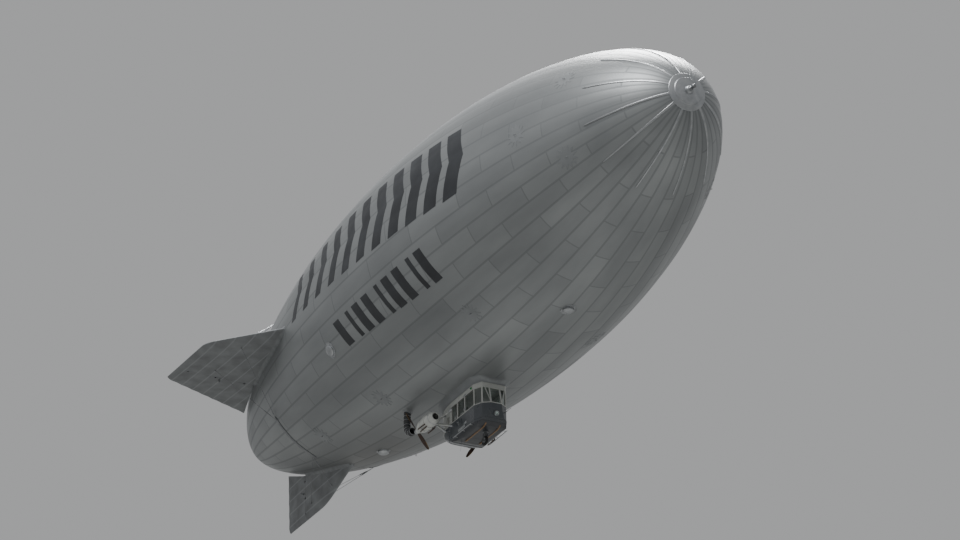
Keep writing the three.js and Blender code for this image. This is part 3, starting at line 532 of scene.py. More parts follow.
def on_line(line, h):
    """The place along a straight edge at height h: y0 + (h - h0) (y1 - y0) / (h1 - h0)."""
    (h0, y0), (h1, y1) = line
    return y0 + (h - h0) / (h1 - h0) * (y1 - y0)


def half_thickness(y, fin, h):
    """Half the aerofoil's thickness at y: the four-digit formula over the chord from edge to edge."""
    front, back = on_line(fin["leading"], h), on_line(fin["trailing"], h)
    s = np.clip((y - front) / (back - front), 0, 1)
    form = 0.2969 * np.sqrt(s) - 0.126 * s - 0.3516 * s**2 + 0.2843 * s**3 - 0.1015 * s**4
    return 5 * FIN_THICKNESS * (back - front) * form + FIN_EDGE


def tip_factor(h, tip):
    """How far the rounded tip has drawn in: sqrt(1 - q^2), with q from 0 to 0.985 over the rounding."""
    q = np.clip((h - tip + TIP_ROUNDING) / TIP_ROUNDING, 0, 0.985)
    return np.sqrt(1 - q**2)


def rib_wave(h, tip):
    """0 at every rib and 1 halfway between two, as a squared sine of the height."""
    return np.sin(np.pi * (tip - TIP_ROUNDING - h) / RIB_PITCH) ** 2


def tip_rows(tip):
    """Rows of heights through the rounded tip, closer together towards its end."""
    return tip - TIP_ROUNDING * (1 - np.array([0.2, 0.4, 0.6, 0.75, 0.87, 0.95, 1.0]))


def turned(points, turn):
    """Points drawn for a fin that stands straight up, turned about the craft's axis."""
    v, y, h = points[..., 0], points[..., 1], points[..., 2]
    return np.stack([v * np.cos(turn) + h * np.sin(turn), y, h * np.cos(turn) - v * np.sin(turn)], -1)


hinge_half = float(half_thickness(MAIN_FIN["hinge"], MAIN_FIN, MAIN_FIN["root"]))
print("a main fin is", round(2000 * hinge_half), "mm thick at its hinge's foot")

# %% [markdown]
# ### The fixed fins
# The fixed part ends in a hollow that the hinged surface's round nose turns in with a small gap, as a
# straight cut would open a slot as soon as the rudder moved. Its foot follows the envelope.

# %% Fixed fins
FACE_STEPS, COVE_STEPS, FIN_ROWS = 30, 9, 84
ROOT_DEPTH, SETTLE = 0.06, 14  # SETTLE is how many rounds bring a foot's height and its place together


def fin_section(fin, h):
    """One closed loop of a fin at each height: up one face from the leading edge, round the hollow that
    the hinged surface turns in, and back along the other face."""
    shrink = tip_factor(h, fin["tip"])
    front = on_line(fin["leading"], h) + TIP_ROUNDING * (1 - shrink)
    nose = half_thickness(fin["hinge"], fin, h)
    cove = nose * shrink + COVE_GAP
    lip = fin["hinge"] - np.sqrt(cove**2 - (nose * shrink) ** 2)
    s = np.linspace(0, 1, FACE_STEPS) ** 1.7
    s = np.concatenate([s, np.zeros(COVE_STEPS), s[::-1]])
    sign = np.concatenate([np.ones(FACE_STEPS), np.zeros(COVE_STEPS), -np.ones(FACE_STEPS)])
    y = front + s * (lip - front)
    dip = RIB_DIP * rib_wave(h, fin["tip"]) * np.sqrt(np.sin(np.pi * s))
    edge = np.sqrt(np.clip((y - front) / 0.05, 0, 1))
    v = sign * (half_thickness(y, fin, h) * edge - dip) * shrink
    angle = np.arctan2(nose * shrink, lip - fin["hinge"])
    k = np.clip((np.arange(len(s)) - FACE_STEPS + 1) / (COVE_STEPS + 1), 0, 1)
    arc = angle + k * 2 * (np.pi - angle)
    hollow = sign == 0
    y = np.where(hollow, fin["hinge"] + cove * np.cos(arc), y)
    v = np.where(hollow, cove * np.sin(arc), v)
    return np.stack([v, y, np.broadcast_to(h, y.shape)], -1)


def fin_cover(fin):
    """Rows of that loop from 60 mm under the envelope to the tip."""
    columns = 2 * FACE_STEPS + COVE_STEPS
    root = np.full(columns, fin["root"])
    for _ in range(SETTLE):
        root = hull_radius(fin_section(fin, root)[:, 1]) - ROOT_DEPTH
    q = np.linspace(0, 1, FIN_ROWS)[:, None]
    rows = root + q * (fin["tip"] - TIP_ROUNDING - root)
    rows = np.concatenate([rows, np.repeat(tip_rows(fin["tip"])[:, None], columns, 1)])
    return fin_section(fin, rows)


print("fin cover", fin_cover(MAIN_FIN).shape)

# %% [markdown]
# ### Rudders and elevators
# A hinged surface has a half round nose about its hinge and two faces that run to a thin trailing edge.
# Around each hinge the nose is cut back, so that the lug that carries it has room at full deflection.

# %% Hinged surfaces
NOTCH_HALF, NOTCH_DEPTH, SURFACE_STEPS = 0.046, 0.066, 20
EDGE_HALF, ROW_PITCH = 0.012, 0.045
HINGE_SHARES = np.array([0.12, 0.5, 0.86])


def hinge_heights(fin):
    """The heights of a fin's three hinges, at shares of the way from its root to its tip."""
    return fin["root"] + HINGE_SHARES * (fin["tip"] - fin["root"])


def surface_section(fin, h, notched):
    """One closed loop of a hinged surface: a half round nose about the hinge, and two faces that run
    straight to a thin trailing edge. In a notched row the nose is cut back flat to clear the hinge."""
    shrink = tip_factor(h, fin["tip"])
    nose = half_thickness(fin["hinge"], fin, h) * shrink
    wave = np.abs(np.sin(np.pi * (fin["tip"] - TIP_ROUNDING - h) / RIB_PITCH))
    end = on_line(fin["trailing"], h) - 0.5 * TIP_ROUNDING * (1 - shrink) - EDGE_SCALLOP * wave * shrink
    arc = np.pi * (1.5 - np.arange(COVE_STEPS + 4) / (COVE_STEPS + 3))
    s = np.linspace(0, 1, SURFACE_STEPS + 1)[1:]
    bend = np.concatenate([arc, np.full(2 * SURFACE_STEPS, np.pi / 2)])
    s = np.concatenate([np.zeros(len(arc)), s, s[::-1]])
    sign = np.concatenate([np.sin(arc), np.ones(SURFACE_STEPS), -np.ones(SURFACE_STEPS)])
    edge = EDGE_HALF * np.maximum(shrink, 0.4)
    y = fin["hinge"] + s * (end - fin["hinge"]) + (s == 0) * nose * np.cos(bend)
    y = np.maximum(y, np.where(notched, fin["hinge"] + NOTCH_DEPTH, -np.inf))
    along = np.clip((y - fin["hinge"]) / (end - fin["hinge"]), 0, 1)
    dip = RIB_DIP * rib_wave(h, fin["tip"]) * np.sqrt(np.sin(np.pi * along))
    half = nose + (edge - nose) * along + 0.2 * (nose - edge) * along * (1 - along) - dip * shrink
    return np.stack([sign * half, y, np.broadcast_to(h, y.shape)], -1)


def surface_cover(fin):
    """Rows of that loop from the sloping lower edge to the tip, doubled at both ends of every notch. At a
    notch's low end the plain row comes first and the cut one second, and at its high end the other way."""
    columns = COVE_STEPS + 4 + 2 * SURFACE_STEPS
    root = np.full(columns, fin["root"])
    for _ in range(SETTLE):
        y = surface_section(fin, root, False)[:, 1]
        root = fin["root"] - fin["slope"] * np.maximum(y - fin["hinge"], 0)
    q = np.linspace(0, 1, 14)[:, None]
    start = fin["root"] + 0.03
    low = root + q * (start - root)
    notches = np.array([[h - NOTCH_HALF, h + NOTCH_HALF] for h in hinge_heights(fin)])
    plain = np.arange(start, fin["tip"] - TIP_ROUNDING, ROW_PITCH)[1:]
    inside = ((plain[:, None] > notches[:, 0]) & (plain[:, None] < notches[:, 1])).any(1)
    rows = [(h, 0, False) for h in np.concatenate([plain[~inside], tip_rows(fin["tip"])])]
    for bottom, top in notches:
        rows += [(bottom, 0, False), (bottom, 1, True), (top, 0, True), (top, 1, False)]
    rows = sorted(rows, key=lambda row: (round(float(row[0]), 6), row[1]))
    heights, _, cut = (np.array(k)[:, None] for k in zip(*rows))
    high = surface_section(fin, np.repeat(heights, columns, 1), cut)
    return np.concatenate([surface_section(fin, low, False), high])


print("rudder cover", surface_cover(MAIN_FIN).shape)

# %% [markdown]
# ### Grey dope on the fins
# In the film the fins' undersides are as dark as the belly, and they catch no bright edge. They are
# covered with the same cotton, doped in a plain grey with no aluminium in it. Tapes are cemented over the
# ribs, and they shine a little more than the open fabric. The rib pattern follows each cover's own height
# above the axis, kept with the mesh as a number at every point, so that one finish serves all four quarters.

# %% Fin finish and covers
TAPE_SHARE = 0.05


def fin_finish():
    """Mid grey by weather, lighter tape over each rib, and a relief from both."""
    m, shader, place = new_material("grey_doped_cotton", "fin_fabric")
    height = add(m, "ShaderNodeAttribute", attribute_name="above_axis").outputs["Fac"]
    from_rib = to_whole(m, sums(m, "DIVIDE", height, RIB_PITCH))
    tape = spread(m, from_rib, TAPE_SHARE, TAPE_SHARE + 0.015, 1.0, 0.0)
    weather, slubs = noise(m, place, 700, 6.0), noise(m, place, SLUB_MM)
    colour = mixed(m, spread(m, weather, 0.3, 0.7), "#6a6c6e", "#808385")
    colour = mixed(m, times(m, tape, 0.5), colour, "#8f9395")
    rough = sums(m, "SUBTRACT", spread(m, weather, 0.3, 0.7, 0.62, 0.5), times(m, tape, 0.1))
    lift = sums(m, "ADD", tape, times(m, slubs, 0.4))
    return dressed(m, shader, colour, rough, lift, 0.6, 2)


grey_cotton = fin_finish()


def cover_piece(name, cover, fin, turn, body, node):
    """A closed cover turned to its quarter, with each point's distance from the last rib kept as a number."""
    above = {"above_axis": fin["tip"] - TIP_ROUNDING - cover[..., 2]}
    part = grid(turned(cover, turn), wrap_columns=True, caps=True)
    return piece(name, part, grey_cotton, body, replaces=node, crease=35, values=above)


for quarter, (turn, fin, surface) in TAIL.items():
    cover_piece(f"fin_cover_{quarter}", fin_cover(fin), fin, turn, "airframe", f"fin_{quarter}")
    cover_piece(f"{surface}_cover", surface_cover(fin), fin, turn, surface, surface)

# %% [markdown]
# ## The advertising bands
# Both flanks of an advertising blimp carry large figures, cut from dark doped cloth and cemented on. In
# the film they are two rows on the lower flank. Here they are plain: a row of broad arrowheads that get
# narrower towards the tail, and under it a row of slanted bars. Each is a thin plate whose outer face lies
# a few millimetres over the envelope and whose inner face is sunk in it, so it bends with every gore.

# %% Bands of arrowheads and bars
MARK_LIFT, MARK_DEPTH = 0.006, 0.03
ARROW_TURN, ARROW_HALF = np.radians([-84.0, -79.0]), np.radians(17.0)
ARROW_SPAN, ARROW_COUNT, ARROW_SLANT = (station_y(0.255), station_y(0.68)), 11, 0.62
BAR_TURN, BAR_HALF = np.radians([-120.0, -118.0]), np.radians(8.5)
BAR_SPAN, BAR_COUNT, BAR_SLANT = (station_y(0.345), station_y(0.565)), 9, 0.45

mark_dope = finish("charcoal_marking_dope", "dark_enamel", "#34373b", "#2a2c30", 0.5, 1200, 35, 0.5)


def band(span, count, turns, half, slant, shares, pointed):
    """Closed plates in a row. Across the row v goes from -1 to 1; the front end of each figure lies at
    start + slant · |v| for an arrowhead, or start + slant · (v + 1) / 2 for a bar."""
    v = np.linspace(-1, 1, 37)[:, None]
    u = np.linspace(0, 1, 7)[None]
    pitch = (span[1] - span[0]) / count
    plates = []
    for k, share in enumerate(shares):
        start = span[0] + pitch * k
        lean = slant * (np.abs(v) if pointed else v / 2 + 0.5)
        y = start + lean + share * pitch * u
        middle = turns[0] + (turns[1] - turns[0]) * k / (count - 1)
        turn = middle + half * v * (1 - 0.25 * k / count) + 0 * u
        plates.append(on_hull(y, turn, MARK_LIFT, MARK_DEPTH))
    return plates


arrow_shares = np.linspace(0.66, 0.34, ARROW_COUNT)
bar_shares = np.where(np.arange(BAR_COUNT) % 3 == 1, 0.3, 0.6)
rows = band(ARROW_SPAN, ARROW_COUNT, ARROW_TURN, ARROW_HALF, ARROW_SLANT, arrow_shares, True)
rows += band(BAR_SPAN, BAR_COUNT, BAR_TURN, BAR_HALF, BAR_SLANT, bar_shares, False)
piece("marking_starboard", rows, mark_dope, crease=30)
piece("marking_port", [mirrored(part) for part in rows], mark_dope, crease=30)

# %% [markdown]
# ## Metal, enamel, glass, rubber and leather
# The gondola is sheet duralumin sprayed with a pale cellulose enamel, and its keel is dark against stone
# chips. Bare duralumin is duller than chrome and shows faint rolling marks along the sheet. Every material
# is named for what it is on the real craft.

# %% More finishes
# name, slot, light and dark colour, roughness, then the mottle, the grain and the relief in millimetres
pale_enamel = finish("pale_sprayed_enamel", "light_enamel", "#c6c8c4", "#b9bbb7", 0.3, 420, 14, 0.25,
                     Coat_Weight=0.35, Coat_Roughness=0.15)
dark_enamel = finish("dark_sprayed_enamel", "dark_enamel", "#2f3238", "#26292e", 0.34, 300, 10, 0.25,
                     Coat_Weight=0.3, Coat_Roughness=0.2)
duralumin = finish("rolled_duralumin", "bare_metal", "#b9bbbd", "#a4a7aa", 0.36, 260, 8, 0.15, Metallic=0.95)
steel = finish("machined_steel", "steel", "#8f9193", "#7c7e81", 0.38, 160, 7, 0.15, Metallic=0.95)
burnt_steel = finish("heat_blued_exhaust_steel", "steel", "#6a5a4c", "#3f4048", 0.5, 90, 8, 0.3, Metallic=0.9)
rubber = finish("moulded_tyre_rubber", "tyre", "#242424", "#1b1b1c", 0.78, 90, 7, 0.3)
seal_rubber = finish("extruded_seal_rubber", "tyre", "#202122", "#191a1b", 0.6, 120, 7, 0.1)
ash_wood = finish("varnished_ash_wood", "dark_enamel", "#8a6a44", "#6f5233", 0.4, 60, 6, 0.15,
                  Coat_Weight=0.4, Coat_Roughness=0.12)
red_glass = finish("red_signal_glass", "window", "#b3221c", "#9c1b17", 0.12, 80, 12, 0.1)
green_glass = finish("green_signal_glass", "window", "#1f8a4c", "#197840", 0.12, 80, 12, 0.1)
clear_lens = finish("pressed_lamp_glass", "window", "#e6e8e6", "#d6d9d8", 0.1, 60, 10, 0.3, Coat_Weight=0.6)

# %% [markdown]
# ### Two tones on the gondola
# The lower half is slate, where stones and exhaust would soil a pale paint, and the two tones meet in a
# line masked with tape. One material with both tones keeps the line level across every sheet.

# %% Two-tone enamel
LIVERY_LINE, LIVERY_EDGE = -6.70, 0.003


def gondola_finish():
    """Sprayed enamel in two tones that meet at LIVERY_LINE: pale above and slate below, where stones and
    exhaust mark it. Both tones grow darker in patches towards the bottom. Chips along the lowest edge show a
    lighter primer."""
    coat = {"Coat_Weight": 0.35, "Coat_Roughness": 0.15}
    m, shader, place = new_material("two_tone_sprayed_enamel", "light_enamel", **coat)
    height = add(m, "ShaderNodeSeparateXYZ", {"Vector": place}).outputs["Z"]
    broad, speckle, peel = noise(m, place, 420, 5.0), noise(m, place, 30, 3.0), noise(m, place, 14)
    pale = mixed(m, spread(m, broad, 0.3, 0.7), "#b9bbb7", "#c9cbc7")
    slate = mixed(m, spread(m, broad, 0.3, 0.7), "#3f4449", "#4b5056")
    chips = times(m, spread(m, speckle, 0.64, 0.68), spread(m, height, -7.15, -7.6))
    slate = mixed(m, times(m, chips, 0.6), slate, "#8d8f8c")
    colour = mixed(m, spread(m, height, LIVERY_LINE - LIVERY_EDGE, LIVERY_LINE + LIVERY_EDGE), slate, pale)
    # both tones darker in patches towards the bottom, more so the lower they lie
    lower_darkening = times(m, spread(m, broad, 0.45, 0.75), spread(m, height, -6.1, -7.5))
    colour = mixed(m, times(m, lower_darkening, 0.25), colour, "#35332f")
    return dressed(m, shader, colour, spread(m, broad, 0.3, 0.7, 0.36, 0.24), peel, 0.5, 0.25)


two_tone = gondola_finish()
print("the two tones meet at", LIVERY_LINE, "m")

# %% [markdown]
# ### Glass and leather
# Old sheet glass is faintly green and never quite clean. Leather shows its pebbles most where it is worn,
# because the dark dye stays between them.

# %% Glass and leather
def window_finish():
    """Flat sheet glass: clear and faintly green, with a haze of dust that roughens it in patches."""
    m, shader, place = new_material("sheet_window_glass", "window", IOR=1.5, Transmission_Weight=1.0)
    dust = noise(m, place, 240, 5.0)
    m.node_tree.links.new(mixed(m, dust, "#dfe8e4", "#eef3f1"), shader.inputs["Base Color"])
    m.node_tree.links.new(spread(m, dust, 0.45, 0.8, 0.01, 0.07), shader.inputs["Roughness"])
    return m


PEBBLE_MM = 5


def leather_finish():
    """Tanned hide: pebbles about 5 mm wide from a cell pattern, drawn twice as coarse as real ones."""
    m, shader, place = new_material("tanned_seat_leather", "upholstery")
    worn = noise(m, place, 180, 5.0)
    pebbles = add(m, "ShaderNodeTexVoronoi", {"Vector": place, "Scale": 1000.0 / PEBBLE_MM})
    pebbles = pebbles.outputs["Distance"]
    colour = mixed(m, spread(m, worn, 0.35, 0.7), "#5c3d28", "#7a5536")
    colour = mixed(m, spread(m, pebbles, 0.35, 0.7, 0.0, 0.4), colour, "#3d2819")
    rough = spread(m, worn, 0.35, 0.7, 0.55, 0.38)
    return dressed(m, shader, colour, rough, pebbles, 0.4, 0.6, invert=True)


window_glass, seat_leather = window_finish(), leather_finish()
print(window_glass.name, "and", seat_leather.name, "ready")

# %% [markdown]
# ## Finishes on the solids that stay
# Where a solid already has the right shape it stays in view and only gets its finish, by swapping the
# material in its object's slots.

# %% Finish the frame's own solids
KEPT = {
    "gondola_": two_tone, "gondola_keel": dark_enamel, "cabin_door": two_tone, "outrigger_": pale_enamel,
    "air_valve_": duralumin, "gas_valve": duralumin, "windscreen": window_glass, "windows_": window_glass,
    "door_window": window_glass, "instrument_panel": dark_enamel, "elevator_wheel": ash_wood,
    "handrail_": duralumin, "engine_": steel, "landing_leg": steel, "landing_fork": steel,
    "landing_axle": steel,
}
for name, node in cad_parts.items():
    match = max((key for key in KEPT if name.startswith(key)), key=len, default=None)
    if match:
        node.data.materials.clear()
        node.data.materials.append(KEPT[match])
    else:
        print("covered by a new piece:", name)

# %% [markdown]
# ## Trim on the envelope
# Where a fin meets the envelope, a boot of doped cloth closes the joint. It is a curve that leaves the fin
# and lands on the envelope, carried along the whole root.

# %% Boots along the fin roots
BOOT_REACH, BOOT_ROWS, BOOT_ROUNDS, BOOT_SINK, BOOT_BEND = 0.15, 60, 12, 0.06, 0.02
BOOT_START, BOOT_END, BOOT_EASE, HULL_LAP, FIN_LAP = 0.04, 0.16, 0.3, 0.004, 0.012


def fin_boot(fin, turn, side):
    """A closed strip: from the fin's face at height BOOT_REACH, by a curve with its bend at the joint, to
    the envelope BOOT_REACH away, and back through a point inside the joint."""
    lowest = fin["root"]
    for _ in range(BOOT_ROUNDS):
        start = on_line(fin["leading"], lowest)
        lowest = float(hull_radius(start))
    y = np.linspace(start + BOOT_START, fin["hinge"] - BOOT_END, BOOT_ROWS)[:, None]
    foot = hull_radius(y)
    half = half_thickness(y, fin, foot)
    reach = BOOT_REACH * np.sqrt(np.clip((y - start) / BOOT_EASE, 0, 1))
    t = np.linspace(0, 1, 9)[None]
    joint = np.sqrt(foot**2 - half**2)
    out_v = half + reach
    out_h = np.sqrt(foot**2 - out_v**2) - HULL_LAP
    in_v = half_thickness(y, fin, foot + reach) - FIN_LAP
    v = quadratic(in_v, half + BOOT_BEND, out_v, t)
    h = quadratic(joint + reach, joint + BOOT_BEND, out_h, t)
    loop = np.stack([side * v, y + 0 * v, h], -1)
    inner = np.stack([side * (half - BOOT_SINK), y, joint - BOOT_SINK], -1)
    return grid(turned(np.concatenate([loop, inner], 1), turn), wrap_columns=True, caps=True)


boots = [fin_boot(fin, turn, side) for turn, fin, _ in TAIL.values() for side in (1, -1)]
boot_cloth = finish("doped_boot_cloth", "fin_fabric", "#7b7e80", "#6f7274", 0.55, 300, 20, 0.5)
piece("fin_boots", boots, boot_cloth, crease=35)

# %% [markdown]
# ### Hinges
# Each rudder and elevator hangs on three hinges. A lug on the fin's spar reaches through a notch in the
# surface's nose, so it rides on the airframe, and the pin through its eye turns with the surface.

# %% Hinge lugs and pins
LUG_HALF, LUG_HEIGHT, LUG_BACK, EYE_RADIUS, PIN_RADIUS, HEAD_RADIUS = 0.038, 0.028, 0.30, 0.040, 0.014, 0.021


def hinge_lug(fin, turn, h):
    """A flat arm from the fin's hollow to the hinge, round about the pin, carried up by its height."""
    a = np.linspace(-np.pi / 2, np.pi / 2, 13)
    eye = np.column_stack([EYE_RADIUS * np.sin(a), fin["hinge"] + EYE_RADIUS * np.cos(a)])
    foot = fin["hinge"] - LUG_BACK
    outline = np.concatenate([[[-LUG_HALF, foot]], eye, [[LUG_HALF, foot]]])
    points = np.column_stack([outline, np.full(len(outline), h - LUG_HEIGHT)])
    points, faces = prism(points, (0, 0, 2 * LUG_HEIGHT))
    return turned(points, turn), faces


def hinge_pin(fin, turn, h):
    """A round pin with a domed head at both ends, standing on the hinge's line."""
    profile = [(0, -0.092), (HEAD_RADIUS, -0.088), (HEAD_RADIUS, -0.06), (PIN_RADIUS, -0.056),
               (PIN_RADIUS, 0.056), (HEAD_RADIUS, 0.06), (HEAD_RADIUS, 0.088), (0, 0.092)]
    points, faces = lathe(profile, "z", (0, fin["hinge"], h), sides=16)
    return turned(points, turn), faces


for quarter, (turn, fin, surface) in TAIL.items():
    heights = hinge_heights(fin)
    piece(f"hinge_lugs_{quarter}", [hinge_lug(fin, turn, h) for h in heights], steel)
    piece(f"hinge_pins_{quarter}", [hinge_pin(fin, turn, h) for h in heights], steel, surface)

# %% [markdown]
# ### Control horns
# Cables from the cabin pull on short horns that stand out from each rudder and elevator. The cables run
# under the envelope's fabric and come out only here, so the horns are what shows.

# %% Control horns
HORN_LENGTH, HORN_REACH, HORN_THICK, HORN_DROP = 0.30, 0.16, 0.012, 0.25


def control_horn(fin, turn, side):
    """A thin triangle that stands on a surface's face, with rounded foot and tip, near the middle hinge."""
    h = float(hinge_heights(fin)[1]) - HORN_DROP
    base, y = float(half_thickness(fin["hinge"], fin, h)) * 0.8, fin["hinge"]
    foot, tip = base - 0.05, base + HORN_REACH
    outline = np.array([[foot, y + 0.05], [tip, y + 0.085], [tip + 0.02, y + 0.10], [tip, y + 0.125],
                        [foot, y + HORN_LENGTH]])
    points = np.column_stack([side * outline[:, 0], outline[:, 1], np.full(len(outline), h - HORN_THICK / 2)])
    points, faces = prism(points, (0, 0, HORN_THICK))
    return turned(points, turn), faces


for quarter, (turn, fin, surface) in TAIL.items():
    horns = [control_horn(fin, turn, side) for side in (1, -1)]
    piece(f"control_horns_{quarter}", horns, duralumin, surface)

# %% [markdown]
# ### Bolts round the valves
# Each valve's flange is clamped to the fabric by a ring of bolts. Their heads are low domes on a circle
# that is laid over the envelope's curve, because a flat circle would leave some of them in the air.

# %% Valve bolts
VALVES = [(-7.2, np.pi), (9.3, np.pi), (5.2, np.radians(-120))]
FLANGE_LIFT, BOLT_RING = 0.028, 0.325


def valve_bolts(y, turn, count=24):
    """Bolt heads on a circle laid on the flange: y + r sin a, turn + r cos a over the envelope's radius."""
    a = full_turn(count)
    turn = turn + BOLT_RING * np.cos(a) / hull_radius(y)
    at = y + BOLT_RING * np.sin(a)
    places = round_axis(hull_radius(at) + FLANGE_LIFT, at, turn)
    return studs(places, round_axis(1.0, 0.0, turn), 0.014, 0.012)


piece("valve_bolts", [valve_bolts(y, turn) for y, turn in VALVES], steel)

# %% [markdown]
# ### Battens and dish on the nose
# At speed the wind would push the blunt nose in, so twelve battens spread its pressure over the fabric,
# and a spun dish ties their front ends together and carries the mooring spindle. The battens are plates
# that follow the envelope, crowned in the middle. The dish follows the nose's ellipse, moved out along its
# normal, so that it sits the same height over the fabric everywhere.

# %% Nose battens, dish and spindle
BATTENS, BATTEN_LENGTH, BATTEN_HALF, FRONT_RADIUS = 12, 3.1, 0.055, 0.75
BATTEN_LIFT, BATTEN_EDGE, BATTEN_POWER = 0.032, 0.006, 1.4
DISH_RADIUS, RING_INNER, RING_OUTER = 0.62, 0.54, 0.84
NOSE_REACH, NOSE_TIP = WIDEST * HULL_LENGTH, station_y(0)


def nose_profile(radius, lift):
    """(radius, y) on the nose's ellipse where it is radius wide, moved out along its normal by lift."""
    angle = np.arcsin(np.asarray(radius, float) / HULL_RADIUS)
    normal = unit(np.stack([np.sin(angle) / HULL_RADIUS, -np.cos(angle) / NOSE_REACH], -1))
    at = np.stack([HULL_RADIUS * np.sin(angle), station_y(WIDEST) - NOSE_REACH * np.cos(angle)], -1)
    return at + np.asarray(lift)[..., None] * normal


def nose_ring(inner, outer, low, high, steps=24):
    """A closed profile between two radii: its outer face at height high with rounded edges, and its inner
    face at height low."""
    share = np.linspace(0, 1, steps)
    radius = inner + (outer - inner) * share
    round_off = np.minimum(1, np.sqrt(np.minimum(share, 1 - share) / 0.06 + 0.02))
    top = nose_profile(radius, low + (high - low) * round_off)
    return np.concatenate([top, nose_profile(radius, np.full(steps, low))[::-1]])


def batten(turn):
    """A plate from under the dish back along the fabric: its half width shrinks to a half at the end, and
    its height is crowned across and eased to nothing at both edges and the end."""
    t = np.linspace(0, 1, 44)[:, None]
    first = float(nose_profile(FRONT_RADIUS, 0.0)[1])
    y = first + (NOSE_TIP + BATTEN_LENGTH - first) * t**BATTEN_POWER
    v = np.linspace(-1, 1, 9)[None]
    half = BATTEN_HALF * (1 - 0.5 * t) * np.sqrt(np.clip((1 - t) / 0.03, 0.02, 1))
    at = turn + half * v / hull_radius(y)
    lift = (BATTEN_LIFT - BATTEN_EDGE) * (1 - v**6) * np.clip((1 - t) / 0.02, 0.3, 1) + BATTEN_EDGE
    return on_hull(y, at, lift)


batten_turn = (np.arange(BATTENS) + 0.5) * 2 * np.pi / BATTENS
front_ring = lathe(nose_ring(RING_INNER, RING_OUTER, -0.02, BATTEN_LIFT + 0.002), "y", sides=96, closed=True)
batten_parts = [batten(turn) for turn in batten_turn] + [front_ring]
piece("battens_and_ring", batten_parts, duralumin, replaces="nose_battens", crease=50)
SOCKET = [(0.09, 0.03), (0.19, 0.03), (0.192, -0.055), (0.186, -0.08), (0.170, -0.135), (0.150, -0.165),
          (0.120, -0.188), (0.09, -0.190)]
SPINDLE = [(0.0, -0.188), (0.095, -0.191), (0.095, -0.212), (0.090, -0.216), (0.068, -0.232),
           (0.062, -0.245), (0.062, -0.395), (0.066, -0.405), (0.082, -0.420), (0.084, -0.426),
           (0.084, -0.468), (0.081, -0.475), (0.054, -0.500), (0.048, -0.5045), (0.0, -0.505)]
dish = lathe(nose_ring(0.10, DISH_RADIUS, 0.02, 0.058), "y", sides=96, closed=True)
socket = lathe(SOCKET, "y", at=(0, NOSE_TIP, 0), sides=64, closed=True)
piece("spun_nose_dish", [dish, socket], duralumin, replaces="nose_dish", crease=50)
spindle = lathe(SPINDLE, "y", at=(0, NOSE_TIP, 0))
piece("turned_spindle", spindle, steel, replaces="mooring_spindle", crease=45)

# %% [markdown]
# ### Studs on the nose
# Rows of small studs lace each batten down along both its edges, and three circles of them hold the dish
# and its ring.

# %% Studs on the nose
STUD_FRONT, STUD_BACK, STUD_ROWS, STUD_SHARE = -17.25, -14.72, 24, 0.62
BATTEN_START, BATTEN_RUN = -17.5, 2.94
stud_turn, stud_at = np.meshgrid(batten_turn, np.linspace(STUD_FRONT, STUD_BACK, STUD_ROWS), indexing="ij")
along_share = ((stud_at - BATTEN_START) / BATTEN_RUN) ** (1 / BATTEN_POWER)
stud_side = BATTEN_HALF * (1 - 0.5 * along_share) * STUD_SHARE
lacing = []
for side in (-1, 1):
    turn = stud_turn + side * stud_side / hull_radius(stud_at)
    places = hull_point(stud_at, turn, BATTEN_LIFT - 0.003)
    facing = round_axis(1.0, -0.35, turn)
    lacing.append(studs(places.reshape(-1, 3), facing.reshape(-1, 3), 0.011, 0.008))
STUD_RINGS = (0.585, 0.057, 48), (0.70, BATTEN_LIFT + 0.001, 60), (0.80, BATTEN_LIFT + 0.001, 72)
for ring_radius, lift, count in STUD_RINGS:
    r, y = nose_profile(ring_radius, lift)
    a = full_turn(count)
    places = np.column_stack([r * np.cos(a), np.full(count, y), r * np.sin(a)])
    lacing.append(studs(places, (0.0, -1.0, 0.0), 0.010, 0.007))
piece("nose_studs", lacing, duralumin)

# %% [markdown]
# ### Stays of the fins
# Wire stays hold each fin upright from both sides. Between two fins a band of webbing is cemented round
# the envelope, and a plate at each of its ends takes two wires, one to the front and one to the back of
# the fin's spars. Each wire has a turnbuckle near its foot to set its pull.

# %% Stays
BAND_Y, BAND_HALF, BAND_LAP, WIRE_RADIUS = station_y(0.8), 0.11, 0.05, 0.008
BAND_EDGE, BAND_CROWN = 0.016, 0.006
SPAR_SHARES, SPAR_INSET, FOOT_LIFT, TOE_LIFT = (0.28, 0.9), 0.26, 0.03, 0.006
# distances along the wire, from its foot or its end, and the radius there
TURNBUCKLE = np.array([[0.30, 0.009], [0.36, 0.017], [0.40, 0.020],
                       [0.62, 0.020], [0.66, 0.017], [0.72, 0.009]])
TOE = np.array([[-0.10, 0.009], [-0.04, 0.022], [0.0, 0.026]])


def stay_wires(fin, turn, side):
    """Two wires of one fin with their turnbuckles: straight from a band's end to points on the fin's face."""
    height, foot_turn = fin["stay"]
    start = round_axis(hull_radius(BAND_Y) + FOOT_LIFT, BAND_Y, turn + side * foot_turn)
    leading = float(on_line(fin["leading"], height))
    made = []
    for share in SPAR_SHARES:
        y = leading + share * (fin["hinge"] - SPAR_INSET - leading)
        across = side * (float(half_thickness(y, fin, height)) + TOE_LIFT)
        end = turned(np.array([across, y, height]), turn)
        along = unit(end - start)
        made.append(tube(start + (end - start) * np.linspace(0, 1, 4)[:, None], WIRE_RADIUS))
        made.append(tube(start + along * TURNBUCKLE[:, :1], TURNBUCKLE[:, 1], sides=12))
        made.append(tube(end + along * TOE[:, :1], TOE[:, 1], sides=12))
    return made


